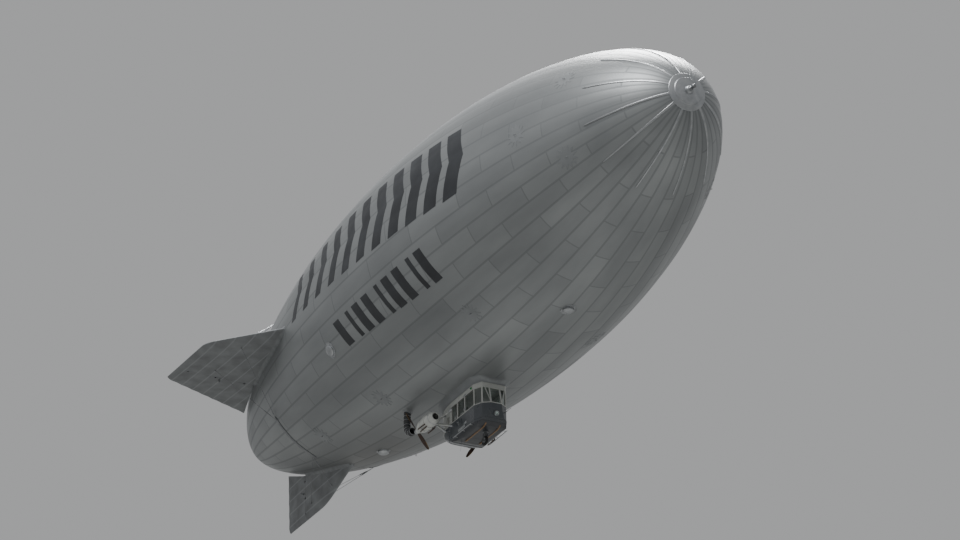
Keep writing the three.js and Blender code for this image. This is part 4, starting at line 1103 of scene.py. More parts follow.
def stay_band(start, stop):
    """A plate of webbing on the envelope with rounded ends: its half width falls as sqrt(1 - u^12)."""
    u = np.linspace(-1, 1, 61)[:, None]
    v = np.linspace(-1, 1, 9)[None]
    half = BAND_HALF * np.sqrt(np.clip(1 - u**12, 0.02, 1))
    turn = (start + stop) / 2 + (stop - start) / 2 * u + 0 * v
    y = BAND_Y + half * v
    return on_hull(y, turn, BAND_EDGE + BAND_CROWN * (1 - v**4))


quarters = list(TAIL.items())
for k, (first, (turn, fin, _)) in enumerate(quarters):
    second, (_, other, _) = quarters[(k + 1) % 4]
    stop = turn + np.pi / 2 - other["stay"][1] + BAND_LAP
    parts = [stay_band(turn + fin["stay"][1] - BAND_LAP, stop)]
    parts += stay_wires(fin, turn, 1) + stay_wires(other, turn + np.pi / 2, -1)
    piece(f"stay_wires_{first}_{second}", parts, steel, replaces=f"stays_{first}_{second}")

# %% [markdown]
# ### Patches for handling lines, and the tail cap
# Finger patches spread a pull into the fabric: a reinforced disc with tapering fingers of cloth. They sit
# in pairs near the nose and along the belly, where ground crew would clip on their lines. The pointed tail
# is closed by a small spun cap with a white lamp.

# %% Finger patches and tail cap
PATCHES = [(-13.4, 62), (-13.4, 118), (-11.2, 90), (-4.2, 148), (4.6, 152), (10.6, 150)]
FINGER_COUNT, FINGER_LENGTH, PATCH_RADIUS = 12, 0.2, 0.3
PATCH_LIFT, PATCH_SINK, RING_LIFT, LINK_RADIUS, LINK_WIRE = 0.007, 0.02, 0.035, 0.045, 0.008


def finger_patch(y, turn):
    """A thin plate whose outline is r = R + L (0.5 + 0.5 cos na)^1.5: round, with n blunt fingers."""
    a = full_turn(144)
    reach = PATCH_RADIUS + FINGER_LENGTH * (0.5 + 0.5 * np.cos(FINGER_COUNT * a)) ** 1.5
    share = np.linspace(0.02, 1, 6)[:, None]
    along = y + share * reach * np.sin(a)
    turn = turn + share * reach * np.cos(a) / hull_radius(y)
    return shell(hull_point(along, turn, PATCH_LIFT), hull_point(along, turn, -PATCH_SINK))


def patch_ring(y, turn):
    """The steel ring a line clips to: a small torus that stands on the patch."""
    up = round_axis(1.0, 0.0, turn)
    centre = (float(hull_radius(y)) + RING_LIFT) * up + [0, y, 0]
    a = full_turn(24)[:, None]
    return tube(centre + LINK_RADIUS * (np.cos(a) * up + np.sin(a) * [0, 1.0, 0]), LINK_WIRE, loop=True)


patch_places = [(y, np.radians(side * turn)) for y, turn in PATCHES for side in (1, -1)]
patch_cloth = finish("silver_patch_cloth", "silver_dope", "#8f9294", "#888b8d", 0.48, 700, 20, 0.4,
                     Metallic=0.5)
piece("finger_patches", [finger_patch(*at) for at in patch_places], patch_cloth)
piece("patch_rings", [patch_ring(*at) for at in patch_places], steel)
TAIL_Y = station_y(1.0)
cap_y = TAIL_Y - np.array([0.55, 0.5, 0.4, 0.28, 0.16, 0.07, 0.02])
cap_profile = [(float(hull_radius(cap_y[0])) - 0.02, cap_y[0] - 0.01)]
cap_profile += [(float(hull_radius(k)) + 0.012, k) for k in cap_y]
cap_profile += [(0.05, TAIL_Y + 0.005), (0.0, TAIL_Y + 0.01)]
piece("tail_cap", lathe(cap_profile, "y", sides=64), duralumin)
lamp_profile = [(0.0, 0.0), (0.045, 0.0), (0.045, 0.02), (0.036, 0.05), (0.018, 0.068), (0.0, 0.072)]
piece("tail_lamp", lathe(lamp_profile, "y", at=(0, TAIL_Y + 0.004, 0), sides=24), clear_lens)

# %% [markdown]
# ## The gondola
# The gondola is a sheet duralumin cabin hung close under the envelope. Its solids already have the right
# form, all but the tail's, so they stay, and the work here is what makes sheet metal look like sheet metal:
# beads and strakes round the body, a skirt that closes the gap to the envelope, gaskets round the windows,
# rows of rivets. Most of these follow the cabin's outline at one height, so one function gives that outline.

# %% The cabin's outline at a height
CABIN_HALF, CABIN_FRONT, CABIN_REAR, GONDOLA_TAIL = 0.740, -0.25, 1.8, 3.45
KEEL, ROOF_LINE, SILL, HEAD = -7.60, -5.76, -6.66, -5.98
NOSE_Y, NOSE_BEND, NOSE_SLOPE, CHIN = -0.85, -6.68, 0.30 / 1.48, 0.7
DOOR_FRONT, DOOR_REAR = 0.52, 1.22
OUTLINE_STEP, LAP = 0.02, 0.001


def nose_front(z):
    """How far forward the nose reaches: a slope above the sill, and below it the curve y0 + chin t^2."""
    above = NOSE_Y + (z - NOSE_BEND) * NOSE_SLOPE
    t = 1 - np.sqrt(np.clip((z - KEEL) / (NOSE_BEND - KEEL), 0, 1))
    return np.where(z > NOSE_BEND, above, NOSE_Y + CHIN * t**2)


TAIL_RISE, STERN_EASE, END_HALF, PLAN_START = 1.05, 0.3, 0.24, 1.6
LOW_CORNER, LOW_CORNER_TOP = 0.22, -7.38
plan_t = np.linspace(0, 1, 200)
PLAN_Y = quadratic(PLAN_START, 2.8, GONDOLA_TAIL + 0.005, plan_t)
PLAN_X = quadratic(CABIN_HALF, 0.72, END_HALF, plan_t)


def tail_back(z):
    """How far back the tail reaches: the rising keel's curve, eased into the upright stern by taking off
    ease / 4 times the squared share by which the two have come close."""
    t = np.sqrt(np.clip((z - KEEL) / TAIL_RISE, 0, None))
    rise = quadratic(0.95, 2.4, GONDOLA_TAIL, t)
    near = np.clip(1 - np.abs(rise - GONDOLA_TAIL) / STERN_EASE, 0, None)
    return np.minimum(rise, GONDOLA_TAIL) - STERN_EASE / 4 * near**2


def stern(z, count=48):
    """The outline's port half behind the cabin, a superellipse drawn in to the plan's curve:
    y = y0 + reach sqrt(sin a), x = half width(y) sqrt(cos a), for a from 0 to a right angle."""
    a = np.linspace(0, np.pi / 2, count)
    y = CABIN_REAR + LAP + (tail_back(z) - CABIN_REAR - LAP) * np.sqrt(np.sin(a))
    drop = np.clip(LOW_CORNER_TOP - z, 0, LOW_CORNER)
    low_half = CABIN_HALF - LOW_CORNER + np.sqrt(LOW_CORNER**2 - drop**2)
    x = np.minimum(np.interp(y, PLAN_Y, PLAN_X), low_half) * np.sqrt(np.clip(np.cos(a), 0, 1))
    return x, y


def cabin_outline(z, out=0.0):
    """Evenly spaced points along the outline at height z, from the middle of the nose round to port, the
    tail, starboard and back, moved out by a distance. Corners are rounded by a short running mean."""
    tail_x, tail_y = stern(z)
    x = np.concatenate([[END_HALF, 0.56, CABIN_HALF, CABIN_HALF], tail_x])
    y = np.concatenate([[NOSE_Y - 0.005, -0.64, CABIN_FRONT, PLAN_START], tail_y])
    fine = np.linspace(0, len(x) - 1, 8000)
    x, y = np.interp(fine, np.arange(len(x)), x), np.interp(fine, np.arange(len(y)), y)
    keep = y >= float(nose_front(z))
    x, y = x[keep], y[keep]
    x = np.concatenate([[0], x, [0], -x[::-1], [0]])
    y = np.concatenate([[y[0]], y, [y[-1]], y[::-1], [y[0]]])
    run = distance_run(np.column_stack([x, y]))
    at = np.linspace(0, run[-1], int(run[-1] / OUTLINE_STEP), endpoint=False)
    ring = np.column_stack([np.interp(at, run, x), np.interp(at, run, y)])
    ring = (np.roll(ring, 1, 0) + ring + np.roll(ring, -1, 0)) / 3
    along = unit(np.roll(ring, -1, 0) - np.roll(ring, 1, 0))
    ring = ring + out * np.column_stack([along[:, 1], -along[:, 0]])
    return np.column_stack([ring, np.full(len(ring), z)])


def on_door(points, gap=0.0):
    """Which points of an outline lie on the starboard door, widened by a gap at each side."""
    return (points[:, 0] < -0.6) & (points[:, 1] > DOOR_FRONT - gap) & (points[:, 1] < DOOR_REAR + gap)


print("outline at the sill:", len(cabin_outline(SILL)), "points")

# %% [markdown]
# ### The tail's skin
# The tail fairs the cabin off, and a real one is beaten from sheet over round formers. The frame's solid has
# flat faces there, which catch the light as creases, so the outlines above are stacked from the keel's line
# to behind the skirt. They are spaced by the rising keel's own parameter, so no row is much taller than its
# neighbour, and the skin meets the cabin's rear edge in a plain lap.

# %% Tail skin
TAIL_FOOT, TAIL_TOP = -7.501, -5.70


def tail_skin():
    """Rows of outline at rising heights z = keel + rise t^2, t in even steps, port half and its mirror image.
    The straight line across the cabin's rear closes each row, and the first and last rows are filled in."""
    t = np.linspace(np.sqrt((TAIL_FOOT - KEEL) / TAIL_RISE), np.sqrt((TAIL_TOP - KEEL) / TAIL_RISE), 72)
    z = KEEL + TAIL_RISE * t[:, None] ** 2
    x, y = stern(z)
    x, y = np.concatenate([x, -x[:, -2::-1]], 1), np.concatenate([y, y[:, -2::-1]], 1)
    return grid(np.stack([x, y, np.broadcast_to(z, x.shape)], -1), wrap_columns=True, caps=True)


piece("gondola_tail_skin", tail_skin(), two_tone, replaces="gondola_tail", crease=35)

# %% [markdown]
# ### Beads, strakes and the skirt
# Half-round beads frame the window band, a rubbing strake runs at deck height, and a gutter at the roof
# keeps rain off the door. They stop at the door, and the door carries its own stretch, so it can open. The
# skirt is doped cloth laced between the gutter and the envelope: a concave curve carried round the outline.

# %% Beads and skirt
# height and radius of the bead at the window sill, the one at the window head, the strake and the gutter
BEADS = [(-6.678, 0.011), (-5.962, 0.011), (-7.345, 0.014), (-5.79, 0.013)]
DOOR_CLEAR = 0.012


def bead_runs(z, radius):
    """The stretch round the body as one path from behind the door to in front of it, and the door's own."""
    ring = cabin_outline(z, 0.2 * radius)
    wide = on_door(ring, DOOR_CLEAR)
    start = int(np.argmax(wide)) + int(wide.sum())
    around = np.roll(ring, -start, 0)[: len(ring) - int(wide.sum())]
    return tube(around, radius), tube(ring[on_door(ring, -DOOR_CLEAR)], radius)


fixed_beads, door_beads = zip(*(bead_runs(z, radius) for z, radius in BEADS))
piece("gondola_beads", list(fixed_beads), two_tone, crease=50)
piece("door_beads", list(door_beads), two_tone, "cabin_door", crease=50)

SKIRT_REACH, SKIRT_FOOT, SKIRT_WALL, GATHER = 0.2, ROOF_LINE + 0.02, 0.012, 0.004


def skirt():
    """From the gutter up and out to the envelope, by a curve with its bend straight above the gutter, with
    small gathers where it is laced. A second surface 12 mm over it closes the cloth."""
    low, high = cabin_outline(SKIRT_FOOT, 0.004), cabin_outline(SKIRT_FOOT, SKIRT_REACH)
    over_low, over_high = (-np.sqrt(hull_radius(k[:, 1]) ** 2 - k[:, 0] ** 2) for k in (low, high))
    bend = np.column_stack([low[:, :2], 0.25 * low[:, 2] + 0.75 * over_low])
    high = np.column_stack([high[:, :2], over_high + 0.004])
    t = np.linspace(0, 1, 11)[:, None, None]
    gather = GATHER * np.sin(np.arange(len(low)) * 2 * np.pi / 6)[None, :, None] * np.sin(np.pi * t)
    face = quadratic(low, bend, high, t) + gather * [0, 0, 1.0]
    return shell(face, face + [0, 0, SKIRT_WALL])


piece("gondola_skirt", skirt(), patch_cloth, crease=50)

# %% [markdown]
# ### Window gaskets, rivets and the door's fittings
# Each pane sits in an extruded rubber gasket with rounded corners. Rivets run in straight rows, closer
# than a hand's width, along every edge where two sheets lap. The door hangs on three hinges at its front
# edge and has a lever handle and a kick plate.

# %% Gaskets
SHEET_X, PANE_X, PANE_CORNER, GASKET_RADIUS, FILLET_THICK = 0.738, 0.735, 0.05, 0.010, 0.004


def rounded_ring(y0, y1, z0, z1, corner, steps=8):
    """A rectangle in the side's plane with round corners, as a closed path of (y, z)."""
    ends = [(y1 - corner, z1 - corner), (y0 + corner, z1 - corner), (y0 + corner, z0 + corner),
            (y1 - corner, z0 + corner)]
    a = np.linspace(0, np.pi / 2, steps) + np.arange(4)[:, None] * np.pi / 2
    arcs = np.stack([corner * np.cos(a), corner * np.sin(a)], -1) + np.array(ends)[:, None]
    return arcs.reshape(-1, 2)


def on_side(side, x, outline):
    """An outline of (y, z) laid in the upright plane a distance x from the middle."""
    return np.column_stack([np.full(len(outline), side * x), outline])


def side_ring(side, y0, y1):
    """A round rubber gasket along the rounded outline of a pane."""
    path = on_side(side, SHEET_X, rounded_ring(y0, y1, SILL, HEAD, PANE_CORNER))
    return tube(path, GASKET_RADIUS, loop=True)


def corner_plates(side, y0, y1):
    """Small plates that fill a square corner out to its round gasket: a fan from the corner to the arc."""
    made = []
    a = np.linspace(0, np.pi / 2, 8)
    for sy, y in ((1, y1), (-1, y0)):
        for sz, z in ((1, HEAD), (-1, SILL)):
            arc = np.column_stack([y - sy * PANE_CORNER * (1 - np.cos(a)),
                                   z - sz * PANE_CORNER * (1 - np.sin(a))])
            outline = np.concatenate([arc, [[y, z]]])
            made.append(prism(on_side(side, PANE_X, outline), (side * FILLET_THICK, 0, 0)))
    return made


PORT_PANES = [(-0.215, 0.490), (0.550, 1.190), (1.250, 1.670)]
STARBOARD_PANES = [(-0.215, 0.490), (1.250, 1.670)]
DOOR_PANE = (0.600, 1.140)
gaskets = [side_ring(1, *pane) for pane in PORT_PANES] + [side_ring(-1, *pane) for pane in STARBOARD_PANES]
piece("window_gaskets", gaskets, seal_rubber, crease=50)
piece("door_gasket", side_ring(-1, *DOOR_PANE), seal_rubber, "cabin_door", crease=50)
fillets = sum((corner_plates(1, *pane) for pane in PORT_PANES), [])
fillets += sum((corner_plates(-1, *pane) for pane in STARBOARD_PANES), [])
piece("window_corners", fillets, two_tone)
piece("door_window_corners", corner_plates(-1, *DOOR_PANE), two_tone, "cabin_door")

# %% Windscreen bars
CORNER_OUT, CORNER_BACK, PLAN_SHIFT = 0.32, 0.215, 0.005  # from the plan's front corner to the next one
SCREEN_BAR, BAR_PROUD, BAR_OVERRUN = 0.015, 0.002, 0.03


def windscreen_bar(side):
    """A bar down the crease where the sloping front meets the corner panes: at each height the front's own
    place, and x on the line between the two front corners of the plan."""
    z = np.linspace(SILL - BAR_OVERRUN, HEAD + BAR_OVERRUN, 12)
    y = nose_front(z)
    x = END_HALF + CORNER_OUT * (y - NOSE_Y + PLAN_SHIFT) / CORNER_BACK
    return tube(np.column_stack([side * (x + BAR_PROUD), y + BAR_PROUD, z]), SCREEN_BAR, sides=12)


piece("windscreen_bars", [windscreen_bar(1), windscreen_bar(-1)], two_tone)

# %% Rivets
RIVET_RADIUS, RIVET_HEIGHT, RIVET_PITCH = 0.0055, 0.0028, 0.05  # drawn a little larger than real ones


def rivets_round(z, keep):
    """Rivets along the outline at a height, facing out from it, where keep allows them."""
    ring = cabin_outline(z)
    step = round(RIVET_PITCH / OUTLINE_STEP)
    away = cabin_outline(z, 0.1) - ring
    chosen = keep(ring)
    return ring[chosen][::step], away[chosen][::step]


ROW_HEIGHTS = (-7.405, -7.30, -6.725, -5.915, -5.83)
COLUMNS = [(side, y) for side in (1, -1) for y in (-0.225, 0.495, 1.245, 1.775)] + [(1, 0.545), (1, 1.195)]
rivet_runs = [rivets_round(z, lambda p: ~on_door(p, 0.03)) for z in ROW_HEIGHTS]
column_z = np.arange(-7.25, -5.85, RIVET_PITCH)
column_z = column_z[(column_z < SILL - 0.09) | (column_z > HEAD + 0.09)]
for side, y in COLUMNS:
    column = on_side(side, CABIN_HALF, np.column_stack([np.full(len(column_z), y), column_z]))
    rivet_runs.append((column, np.tile([float(side), 0, 0], (len(column_z), 1))))
places, away = (np.concatenate(k) for k in zip(*rivet_runs))
piece("gondola_rivets", studs(places, away, RIVET_RADIUS, RIVET_HEIGHT), two_tone)
door_ring = rounded_ring(DOOR_FRONT + 0.035, DOOR_REAR - 0.035, -7.395, -5.80, 0.03, steps=2)
door_run = np.concatenate([door_ring, door_ring[:1]])
run = distance_run(door_run)
at = np.arange(0, run[-1], RIVET_PITCH)
door_rivets = on_side(-1, CABIN_HALF, np.column_stack([np.interp(at, run, door_run[:, k]) for k in (0, 1)]))
piece("door_rivets", studs(door_rivets, (-1.0, 0, 0), RIVET_RADIUS, RIVET_HEIGHT), two_tone, "cabin_door")

# %% Door hinges, handle and kick plate
HINGE_X, HINGE_Y, LEAF_X = -0.742, 0.5225, 0.7435
HINGE_HEIGHTS = (-7.15, -6.52, -5.92)
KNUCKLE, KNUCKLE_HALF, KNUCKLE_GAP, MIDDLE_HALF = 0.011, 0.055, 0.002, 0.017


def side_plate(y0, y1, z0, z1, corner, outer, inner=SHEET_X):
    """A thin plate with round corners on the starboard side, between two distances from the middle."""
    return prism(on_side(-1, inner, rounded_ring(y0, y1, z0, z1, corner)), (inner - outer, 0, 0))


def knuckle(z0, z1):
    """One joint of a hinge: a short upright cylinder about the hinge's line."""
    return lathe([(0, z0), (KNUCKLE, z0), (KNUCKLE, z1), (0, z1)], "z", (HINGE_X, HINGE_Y, 0), sides=16)


fixed_hinge, door_hinge = [], []
for z in HINGE_HEIGHTS:
    fixed_hinge += [knuckle(z - KNUCKLE_HALF, z - MIDDLE_HALF - KNUCKLE_GAP)]
    fixed_hinge += [knuckle(z + MIDDLE_HALF + KNUCKLE_GAP, z + KNUCKLE_HALF)]
    fixed_hinge += [side_plate(0.43, 0.518, z - KNUCKLE_HALF, z + KNUCKLE_HALF, 0.012, LEAF_X)]
    door_leaf = side_plate(0.531, 0.66, z - 0.035, z + 0.035, 0.012, LEAF_X)
    door_hinge += [knuckle(z - MIDDLE_HALF, z + MIDDLE_HALF), door_leaf]
    door_hinge += [side_plate(HINGE_Y, 0.54, z - 0.016, z + 0.016, 0.002, LEAF_X, inner=0.740)]
piece("hinge_leaves_fixed", fixed_hinge, duralumin)
piece("hinge_leaves_door", door_hinge, duralumin, "cabin_door")
LEVER = np.array([[-0.742, 1.150, -6.90, 0.011], [-0.772, 1.150, -6.90, 0.011],
                  [-0.782, 1.142, -6.90, 0.011], [-0.783, 1.10, -6.90, 0.009],
                  [-0.782, 1.05, -6.903, 0.0085], [-0.779, 1.03, -6.905, 0.006]])
ROSE = [(0, 0), (0.028, 0), (0.026, -0.006), (0.014, -0.009), (0, -0.009)]
handle = [tube(LEVER[:, :3], LEVER[:, 3], sides=12), lathe(ROSE, "x", (-0.740, 1.15, -6.90), 24),
          side_plate(1.128, 1.172, -7.02, -6.86, 0.02, 0.7425)]
piece("door_handle", handle, duralumin, "cabin_door")
piece("door_kick_plate", side_plate(0.575, 1.165, -7.325, -7.20, 0.03, 0.7418), duralumin, "cabin_door")

# %% [markdown]
# ### Lamps, runners and small fittings
# Two ash runners protect the keel on the ground. A landing lamp looks out of the lower nose, red and green
# lamps mark port and starboard, and a pitot tube reaches out ahead into clean air.

# %% Keel runners
RUNNER_X, RUNNER_HALF, RUNNER_FRONT, RUNNER_BACK = 0.33, 0.032, -0.52, 1.35


def keel_line(y):
    """The height of the keel's underside: the nose's curve turned round to give z for a place y."""
    t = np.sqrt(np.clip((y - NOSE_Y) / CHIN, 0, 1))
    return KEEL + (NOSE_BEND - KEEL) * (1 - t) ** 2


def runner(side):
    """A flat bar with round lower edges, carried along the keel's line and sunk into it at both ends."""
    y = np.linspace(RUNNER_FRONT, RUNNER_BACK, 60)[:, None]
    ends = np.minimum(np.clip((y - RUNNER_FRONT) / 0.12, 0, 1), np.clip((RUNNER_BACK - y) / 0.08, 0, 1))
    a = np.linspace(np.pi, 2 * np.pi, 9)[None]
    x = RUNNER_X + RUNNER_HALF * signed_power(np.cos(a), 0.5)
    depth = 0.036 * np.abs(np.sin(a)) ** 0.5 * np.sqrt(ends) - 0.006
    under = np.stack([side * x + 0 * y, y + 0 * a, keel_line(y) - depth], -1)
    return grid(under, wrap_columns=True, caps=True)


bolt_rows = [(side, y) for side in (1, -1) for y in np.arange(-0.05, 1.3, 0.25)]
runner_bolts = np.array([[side * RUNNER_X, y, -7.6295] for side, y in bolt_rows])
piece("keel_runners", [runner(side) for side in (1, -1)], ash_wood)
piece("runner_bolts", studs(runner_bolts, (0, 0, -1.0), 0.012, 0.006), steel)

# %% Lamps
LAMP_LENGTH, LAMP_RADIUS, FULLEST, GLASS_END, LAMP_REACH = 0.24, 0.045, 0.22, 0.3, 0.10
LAMP_X, LAMP_Y, LAMP_Z = 0.752, -0.02, -5.845


def side_lamp(side):
    """A teardrop housing on the cabin's side and a domed glass in its front, both turned about the y axis:
    radius (1 - q^2)^p, with q from the fullest place, and p = 0.5 ahead of it and 0.8 behind."""
    t = np.linspace(0, 1, 15)
    y = LAMP_LENGTH * t - LAMP_REACH
    ahead = t < FULLEST
    q = (t - FULLEST) / np.where(ahead, FULLEST, 1 - FULLEST)
    radius = LAMP_RADIUS * np.clip(1 - q**2, 0, 1) ** np.where(ahead, 0.5, 0.8)
    split = np.searchsorted(t, GLASS_END)
    at, wall = (side * LAMP_X, LAMP_Y, LAMP_Z), [[0, y[split]]]
    glass = np.column_stack([radius[: split + 1] * 0.98, y[: split + 1]])
    body = np.column_stack([radius[split:], y[split:]])
    return lathe(np.concatenate([glass, wall]), "y", at, 24), lathe(np.concatenate([wall, body]), "y", at, 24)


port_glass, port_body = side_lamp(1)
starboard_glass, starboard_body = side_lamp(-1)
piece("side_lamp_port", port_glass, red_glass)
piece("side_lamp_starboard", starboard_glass, green_glass)
piece("side_lamp_housings", [port_body, starboard_body], two_tone)
LAMP_AT, LAMP_AXIS, BOWL_RADIUS = (0.0, -0.838, -7.155), (0, -0.86, -0.51), 0.088
silvered_bowl = finish("silvered_reflector", "bare_metal", "#dcdfe1", "#c9cdd0", 0.12, 120, 4, 0.05,
                       Metallic=1.0)


def aimed(part, direction, at):
    """A part turned about z, swung so that z points along a direction, and moved into place."""
    z = unit(np.asarray(direction, float))
    x = np.array([1.0, 0, 0])
    y = np.cross(z, x)
    points, faces = part
    return points @ np.stack([x, y, z]) + np.asarray(at), faces


RIM = [(0.070, -0.085), (0.105, -0.03), (0.110, 0.018), (0.104, 0.028), (0.092, 0.024), (0.088, 0.0),
       (0.070, -0.01)]
LENS = [(0.0, 0.016), (0.05, 0.014), (0.089, 0.004), (0.089, 0.001), (0.05, 0.010), (0.0, 0.012)]
BULB = [(0.0, -0.014), (0.008, -0.017), (0.012, -0.026), (0.009, -0.036), (0.007, -0.043), (0.0, -0.043)]
r = np.linspace(0.0, BOWL_RADIUS, 12)
bowl = np.column_stack([r, -0.042 + 0.036 * (r / BOWL_RADIUS) ** 2])
bowl = np.concatenate([bowl, (bowl - [0, 0.004])[::-1]])
LAMP_PARTS = {"rim": (RIM, duralumin, 40, True), "bowl": (bowl, silvered_bowl, 40, False),
              "bulb": (BULB, clear_lens, 16, False), "lens": (LENS, window_glass, 40, False)}
for name, (profile, material, sides, closed) in LAMP_PARTS.items():
    turned_part = lathe(profile, "z", sides=sides, closed=closed)
    piece(f"landing_lamp_{name}", aimed(turned_part, LAMP_AXIS, LAMP_AT), material)

# %% Pitot tube, aerial and louvres
PITOT = np.array([[0.40, -0.66, -7.02, 0.02], [0.42, -0.86, -7.03, 0.014], [0.425, -0.93, -7.03, 0.012],
                  [0.425, -1.10, -7.03, 0.009], [0.425, -1.30, -7.03, 0.009]])
AERIAL = np.array([[-0.45, 1.45, -7.57, 0.014], [-0.45, 1.46, -7.66, 0.007], [-0.45, 1.50, -7.80, 0.005],
                   [-0.45, 1.56, -7.95, 0.003]])
piece("pitot_tube", tube(PITOT[:, :3], PITOT[:, 3], sides=12), steel)
piece("whip_aerial", tube(AERIAL[:, :3], AERIAL[:, 3]), steel)


SLAT_HEIGHTS, SLAT_START, SLAT_STEP = np.linspace(-6.62, -6.30, 7), 1.93, (-0.012, 0.26)


def louvres(side):
    """Slanted slats on the tail's flank, each a thin prism with its upper edge against the wall."""
    slats = []
    for z in SLAT_HEIGHTS:
        outline = np.array([[0.700, z + 0.03], [0.748, z - 0.004], [0.744, z - 0.010], [0.700, z + 0.018]])
        points = np.column_stack([side * outline[:, 0], np.full(4, SLAT_START), outline[:, 1]])
        slats.append(prism(points, (side * SLAT_STEP[0], SLAT_STEP[1], 0)))
    return slats


piece("tail_louvres", louvres(1) + louvres(-1), two_tone)

# %% [markdown]
# ## The engines on their outriggers
# Each engine hangs in a spun metal cowling on four struts and drives a wooden pusher propeller. A cowling
# is a turned shape, so it is one smooth profile spun about its axis: out along the skin, round the rolled
# lip at the mouth, and back inside. Ring, straps, louvres and exhaust stubs are added as their own pieces.

# %% Engine cowlings
ENGINE_X, ENGINE_Y, ENGINE_Z = 1.4, 1.9, -6.42
COWL_RADIUS, RING_Y, HUB_Y = 0.29, 2.5, 3.54


def smooth_line(points, steps=6):
    """A Catmull-Rom curve through points: each span from two neighbours' slopes, by cubic weights."""
    p = np.asarray(points, float)
    p = np.concatenate([2 * p[:1] - p[1:2], p, 2 * p[-1:] - p[-2:-1]])
    t = np.linspace(0, 1, steps, endpoint=False)[None, :, None]
    a, b, c, d = (p[k : len(p) - 3 + k][:, None] for k in range(4))
    curve = 0.5 * (2 * b + (c - a) * t + (2 * a - 5 * b + 4 * c - d) * t**2 + (3 * b - a - 3 * c + d) * t**3)
    return np.concatenate([curve.reshape(-1, p.shape[1]), p[-2:-1]])


COWL_SKIN = [(0.140, -0.006), (0.152, -0.018), (0.172, -0.012), (0.215, 0.050), (0.258, 0.150),
             (0.284, 0.29), (0.290, 0.42), (0.290, 0.80), (0.276, 1.00), (0.240, 1.23),
             (0.198, 1.37), (0.158, 1.49), (0.136, 1.548)]
COWL_BACK = [(0.058, 1.549), (0.058, 1.24), (0.10, 1.215)]
COWL_INSIDE = [(0.214, 1.19), (0.262, 0.80), (0.264, 0.40), (0.236, 0.17), (0.170, 0.045), (0.142, 0.010)]
cowl_profile = np.concatenate([smooth_line(COWL_SKIN), COWL_BACK, smooth_line(COWL_INSIDE, 3)])
SIDES = {"port": 1, "starboard": -1}
for name, side in SIDES.items():
    at = (side * ENGINE_X, ENGINE_Y, ENGINE_Z)
    cowl = lathe(cowl_profile, "y", at, 64, closed=True)
    piece(f"cowl_{name}", cowl, pale_enamel, replaces=f"cowling_{name}", crease=50)

# %% Straps, louvres, rivets and exhausts on the cowlings
STRAPS, STRAP_WIDTH, STRAP_LIFT, STRAP_SINK = (0.20, 0.92, 1.26), 0.035, 0.003, 0.004
LOUVRE_ROWS, LOUVRE_ANGLES = (0.98, 1.03, 1.08, 1.13), np.radians([35, 75, 115, 215, 255, 295])
LOUVRE_LENGTH, LOUVRE_RISE, LOUVRE_HALF, LOUVRE_SINK = 0.11, 0.014, 0.014, 0.003
STUB_ANGLES, STUB_OUTER, STUB_INNER = np.radians([128, 150, 210, 232]), 0.026, 0.021
STUB_PATH = ((0.52, -0.02), (0.56, 0.04), (0.66, 0.065), (0.82, 0.07), (1.02, 0.085))
HEAD_ROWS, HEADS_ROUND = (0.155, 0.245, 0.875, 0.965, 1.215, 1.305), 36
skin = smooth_line(COWL_SKIN)
skin = skin[np.argsort(skin[:, 1])]


def cowl_radius(d):
    """The skin's radius at a distance behind the mouth."""
    return np.interp(d, skin[:, 1], skin[:, 0])


def cowl_point(side, d, angle, out=0.0):
    """A point on the skin. angle goes from straight up towards the outboard side."""
    radius = cowl_radius(d) + out
    x = side * (ENGINE_X + radius * np.sin(angle))
    return np.stack(np.broadcast_arrays(x, ENGINE_Y + d, ENGINE_Z + radius * np.cos(angle)), -1)


def cowl_strap(side, d):
    """A flat band round the skin: a closed profile 3 mm proud of it."""
    d0, d1 = d - STRAP_WIDTH / 2, d + STRAP_WIDTH / 2
    r0, r1 = cowl_radius(d0), cowl_radius(d1)
    profile = [(r0 - STRAP_SINK, d0), (r0 + STRAP_LIFT, d0), (r1 + STRAP_LIFT, d1), (r1 - STRAP_SINK, d1)]
    return lathe(profile, "y", (side * ENGINE_X, ENGINE_Y, ENGINE_Z), 64, closed=True)


def cowl_louvre(side, d, angle):
    """A pressed louvre: half an ellipse in section, along the skin, that swells and closes at both ends."""
    u = np.linspace(-1, 1, 13)[:, None]
    v = np.linspace(0, np.pi, 9)[None]
    swell = np.sqrt(np.clip(1 - u**2, 0, 1)) * 0.98 + 0.02
    out = LOUVRE_RISE * swell * np.sin(v) - LOUVRE_SINK
    turn = angle + LOUVRE_LENGTH / 2 * u / COWL_RADIUS
    at = d + LOUVRE_HALF * swell * np.cos(v)
    return plate(cowl_point(side, at, turn, out), cowl_point(side, at, turn, 0 * out - 2 * LOUVRE_SINK))


def exhaust(side, angle):
    """A stub that leaves the skin, bends back along it and opens: a pipe along a smooth line."""
    path = [cowl_point(side, d, angle, out) for d, out in STUB_PATH]
    return pipe(smooth_line(path, 5), STUB_OUTER, STUB_INNER, 16)


for name, side in SIDES.items():
    piece(f"cowl_straps_{name}", [cowl_strap(side, d) for d in STRAPS], duralumin)
    vents = [cowl_louvre(side, d, angle) for d in LOUVRE_ROWS for angle in LOUVRE_ANGLES]
    piece(f"cowl_louvres_{name}", vents, pale_enamel)
    piece(f"exhaust_stubs_{name}", [exhaust(side, angle) for angle in STUB_ANGLES], burnt_steel)
    round_angle = full_turn(HEADS_ROUND)
    heads = np.concatenate([cowl_point(side, d, round_angle) for d in HEAD_ROWS])
    away = (heads - [side * ENGINE_X, 0, ENGINE_Z]) * [1, 0, 1]
    piece(f"cowl_rivets_{name}", studs(heads, away, RIVET_RADIUS, 0.003), pale_enamel)

